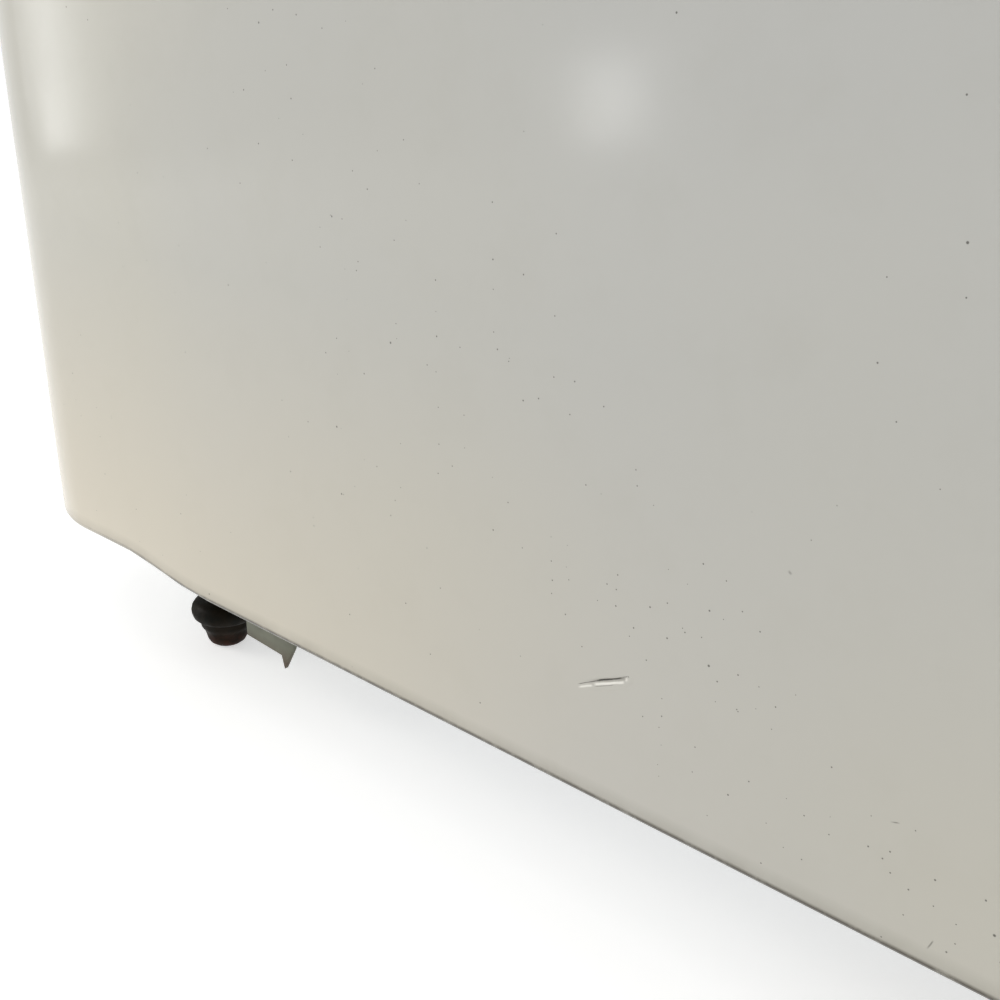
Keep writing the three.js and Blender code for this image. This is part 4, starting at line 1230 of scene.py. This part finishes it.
def latch_handle(node, pivot_x, face, z):
    """A bar that bows forward from its boss to its nose, with rounded edges.

    Each stretch has control points (x from the pivot, y from the door's face) for the bar's back and
    for its front, and a number of sections."""
    low, high = span(node)
    reach = low.x - pivot_x
    stretches = [
        ([(11, -4), (-14, -4)], [(11, -16), (-10, -16)], 4),
        ([(-14, -4), (-30, -8), (-32, -28), (-56, -29)],
         [(-10, -16), (-26, -16), (-30, -38), (-56, -38)], 14),
        ([(-56, -29), (-84, -29), (-84, -5), (-108, -4)],
         [(-56, -38), (-84, -38), (-92, -16), (-110, -13)], 14),
        ([(-108, -4), (reach, -4)], [(-110, -13), (reach, -12)], 4),
    ]
    sections = []
    for back, front, count in stretches:
        for k in range(1 if sections else 0, count + 1):
            sections.append([bezier([(x, y, 0) for x, y in line], k / count) for line in (back, front)])
    squareness = 0.62                            # 1 would make each section an ellipse
    nose_shrink, waist = 0.7, 0.12
    half_high = (high.z - low.z) / 2
    last = len(sections) - 1
    loops = []
    for i, (back, front) in enumerate(sections):
        middle, half_thick = (back + front) / 2, (front - back) / 2
        shrink = nose_shrink if i == last else 1.0
        rise = min(7.0 * (1 - waist * math.sin(math.pi * i / last)), half_high)
        loop = []
        for c, s in circle(24):
            out = math.copysign(abs(c) ** squareness, c) * shrink
            up = math.copysign(abs(s) ** squareness, s) * shrink
            point = middle + half_thick * out
            loop.append((pivot_x + point.x, face + point.y, z + rise * up))
        loops.append(loop)
    bar, boss = Shape(), Shape()
    bar.loft(loops)
    boss.turned([(ON_AXIS, -4), (10.6, -4), (11, -4.6), (11, -14.4), (10.3, -15.4), (8, -16.4), (4, -17.2),
                 (ON_AXIS, -17.4)], (pivot_x, face, z), "y", sides=40)
    return fused([bar, boss], node)


def latch(door):
    face = span(f"{door}_door_shell")[0].y
    low, high = span(f"{door}_latch_plate")
    handle_low, handle_high = span(f"{door}_latch_handle")
    keeper_low, keeper_high = span(f"{door}_latch_keeper")
    z = (handle_low.z + handle_high.z) / 2
    pivot_x = handle_high.x - 11
    keeper_x = (keeper_low.x + keeper_high.x) / 2
    plate = Shape()
    plate.plate(outline_xz((high.x - low.x) / 2, low.z, high.z, 10, x=(low.x + high.x) / 2),
                face - 0.3, face - 3.3, 1.6)
    piece(plate, f"bright_{door}_latch_plate", f"{door}_door", CHROME,
          (f"{door}_latch_plate",))
    piece(latch_handle(f"{door}_latch_handle", pivot_x, face, z), f"bright_{door}_latch_handle",
          f"{door}_latch", CHROME, (f"{door}_latch_handle",), sharp=40)
    softened(f"{door}_latch_keeper", "cabinet", CHROME, 0.9)
    corners = [(x, face - 3.4, z + dz) for x in (low.x + 10, high.x - 10) for dz in (-15, 15)]
    screws(f"{door}_latch_plate_screws", f"{door}_door", CHROME, corners, 3.4, 1.3)
    screws(f"{door}_latch_pivot_screw", f"{door}_latch", CHROME,
           [(pivot_x, face - 17.2, z)], 4.6, 1.6)
    screws(f"{door}_keeper_screws", "cabinet", CHROME,
           [(keeper_x, FRONT - 3.4, z + dz) for dz in (-30, -12.5)], 2.8, 1.2)


for door, opening in (("ice", ICE), ("food", FOOD)):
    body = f"{door}_door"
    shell, panel, wool, seal = [f"{body}_{part}" for part in ("shell", "panel", "insulation", "gasket")]
    low, high = span(shell)
    piece(hollow_slab(low, high, 28, 12, high.y), f"enamelled_{shell}", body, DOOR_ENAMEL,
          (shell,))
    piece(door_panel(*span(panel), opening), f"pressed_{panel}", body, LINER_ENAMEL,
          (panel,))
    piece(door_wool(*span(wool), opening), f"packed_{wool}", body, WOOL, (wool,))
    piece(gasket(*span(seal)), f"rubber_{seal}", body, RUBBER, (seal,))
    for place_name in ("lower", "upper"):
        hinge(door, place_name)
    latch(door)

low, high = span("ice_door_shell")
badge_y, badge_z = low.y - 0.05, high.z - 62
badge_half_x, badge_half_z = 46, 19
badge = Shape()
badge.loft([[((badge_half_x - inset) * c, badge_y - out, badge_z + (badge_half_z - inset) * s)
             for c, s in circle(72)] for inset, out in (
                 (0, 0), (0.3, 0.9), (1.4, 1.6), (2.6, 1.7), (3.4, 1.2), (4.2, 0.9), (16, 1.3))])
piece(badge, "blank_badge", "ice_door", CHROME)


# ---- base drawer ----
def finger_lip(face, high):
    """A rolled lip along the drawer's upper edge: a strip that runs out, turns down and ends in a bead."""
    half, thick, bead_r = 90, 2.0, 1.8
    z = high - 15
    path = [(face + 1.5, z)]
    path += [(face - 10 - 5 * s, z - 5 + 5 * c) for c, s in quarter(5)]
    path += [(face - 15, z - 9), (face - 15, z - 13)]
    last = len(path) - 1
    loops = []
    for i, (y, level) in enumerate(path):
        before, after = path[max(i - 1, 0)], path[min(i + 1, last)]
        along = Vector((after[0] - before[0], after[1] - before[1])).normalized()
        across = Vector((-along.y, along.x)) * thick / 2
        end = half - 4 * smooth(i, 2, last)
        loops.append([(-end, y + across.x, level + across.y), (end, y + across.x, level + across.y),
                      (end, y - across.x, level - across.y), (-end, y - across.x, level - across.y)])
    sheet, bead = Shape(), Shape()
    sheet.loft(loops)
    bead.tube([(x, face - 15.2, z - 13) for x in (4 - half, 0, half - 4)], bead_r)
    return fused([sheet, bead], "finger_lip")


drawer_face = FRONT - 24
face_low = Vector((DRAWER_LOW.x, drawer_face, DRAWER_LOW.z))
piece(hollow_slab(face_low, DRAWER_HIGH, 18, 8, DRAWER_HIGH.y), "enamelled_drawer_front", "drip_drawer",
      DOOR_ENAMEL, ("drip_drawer_front",))
piece(finger_lip(drawer_face, DRAWER_HIGH.z), "enamelled_finger_lip", "drip_drawer",
      DOOR_ENAMEL)
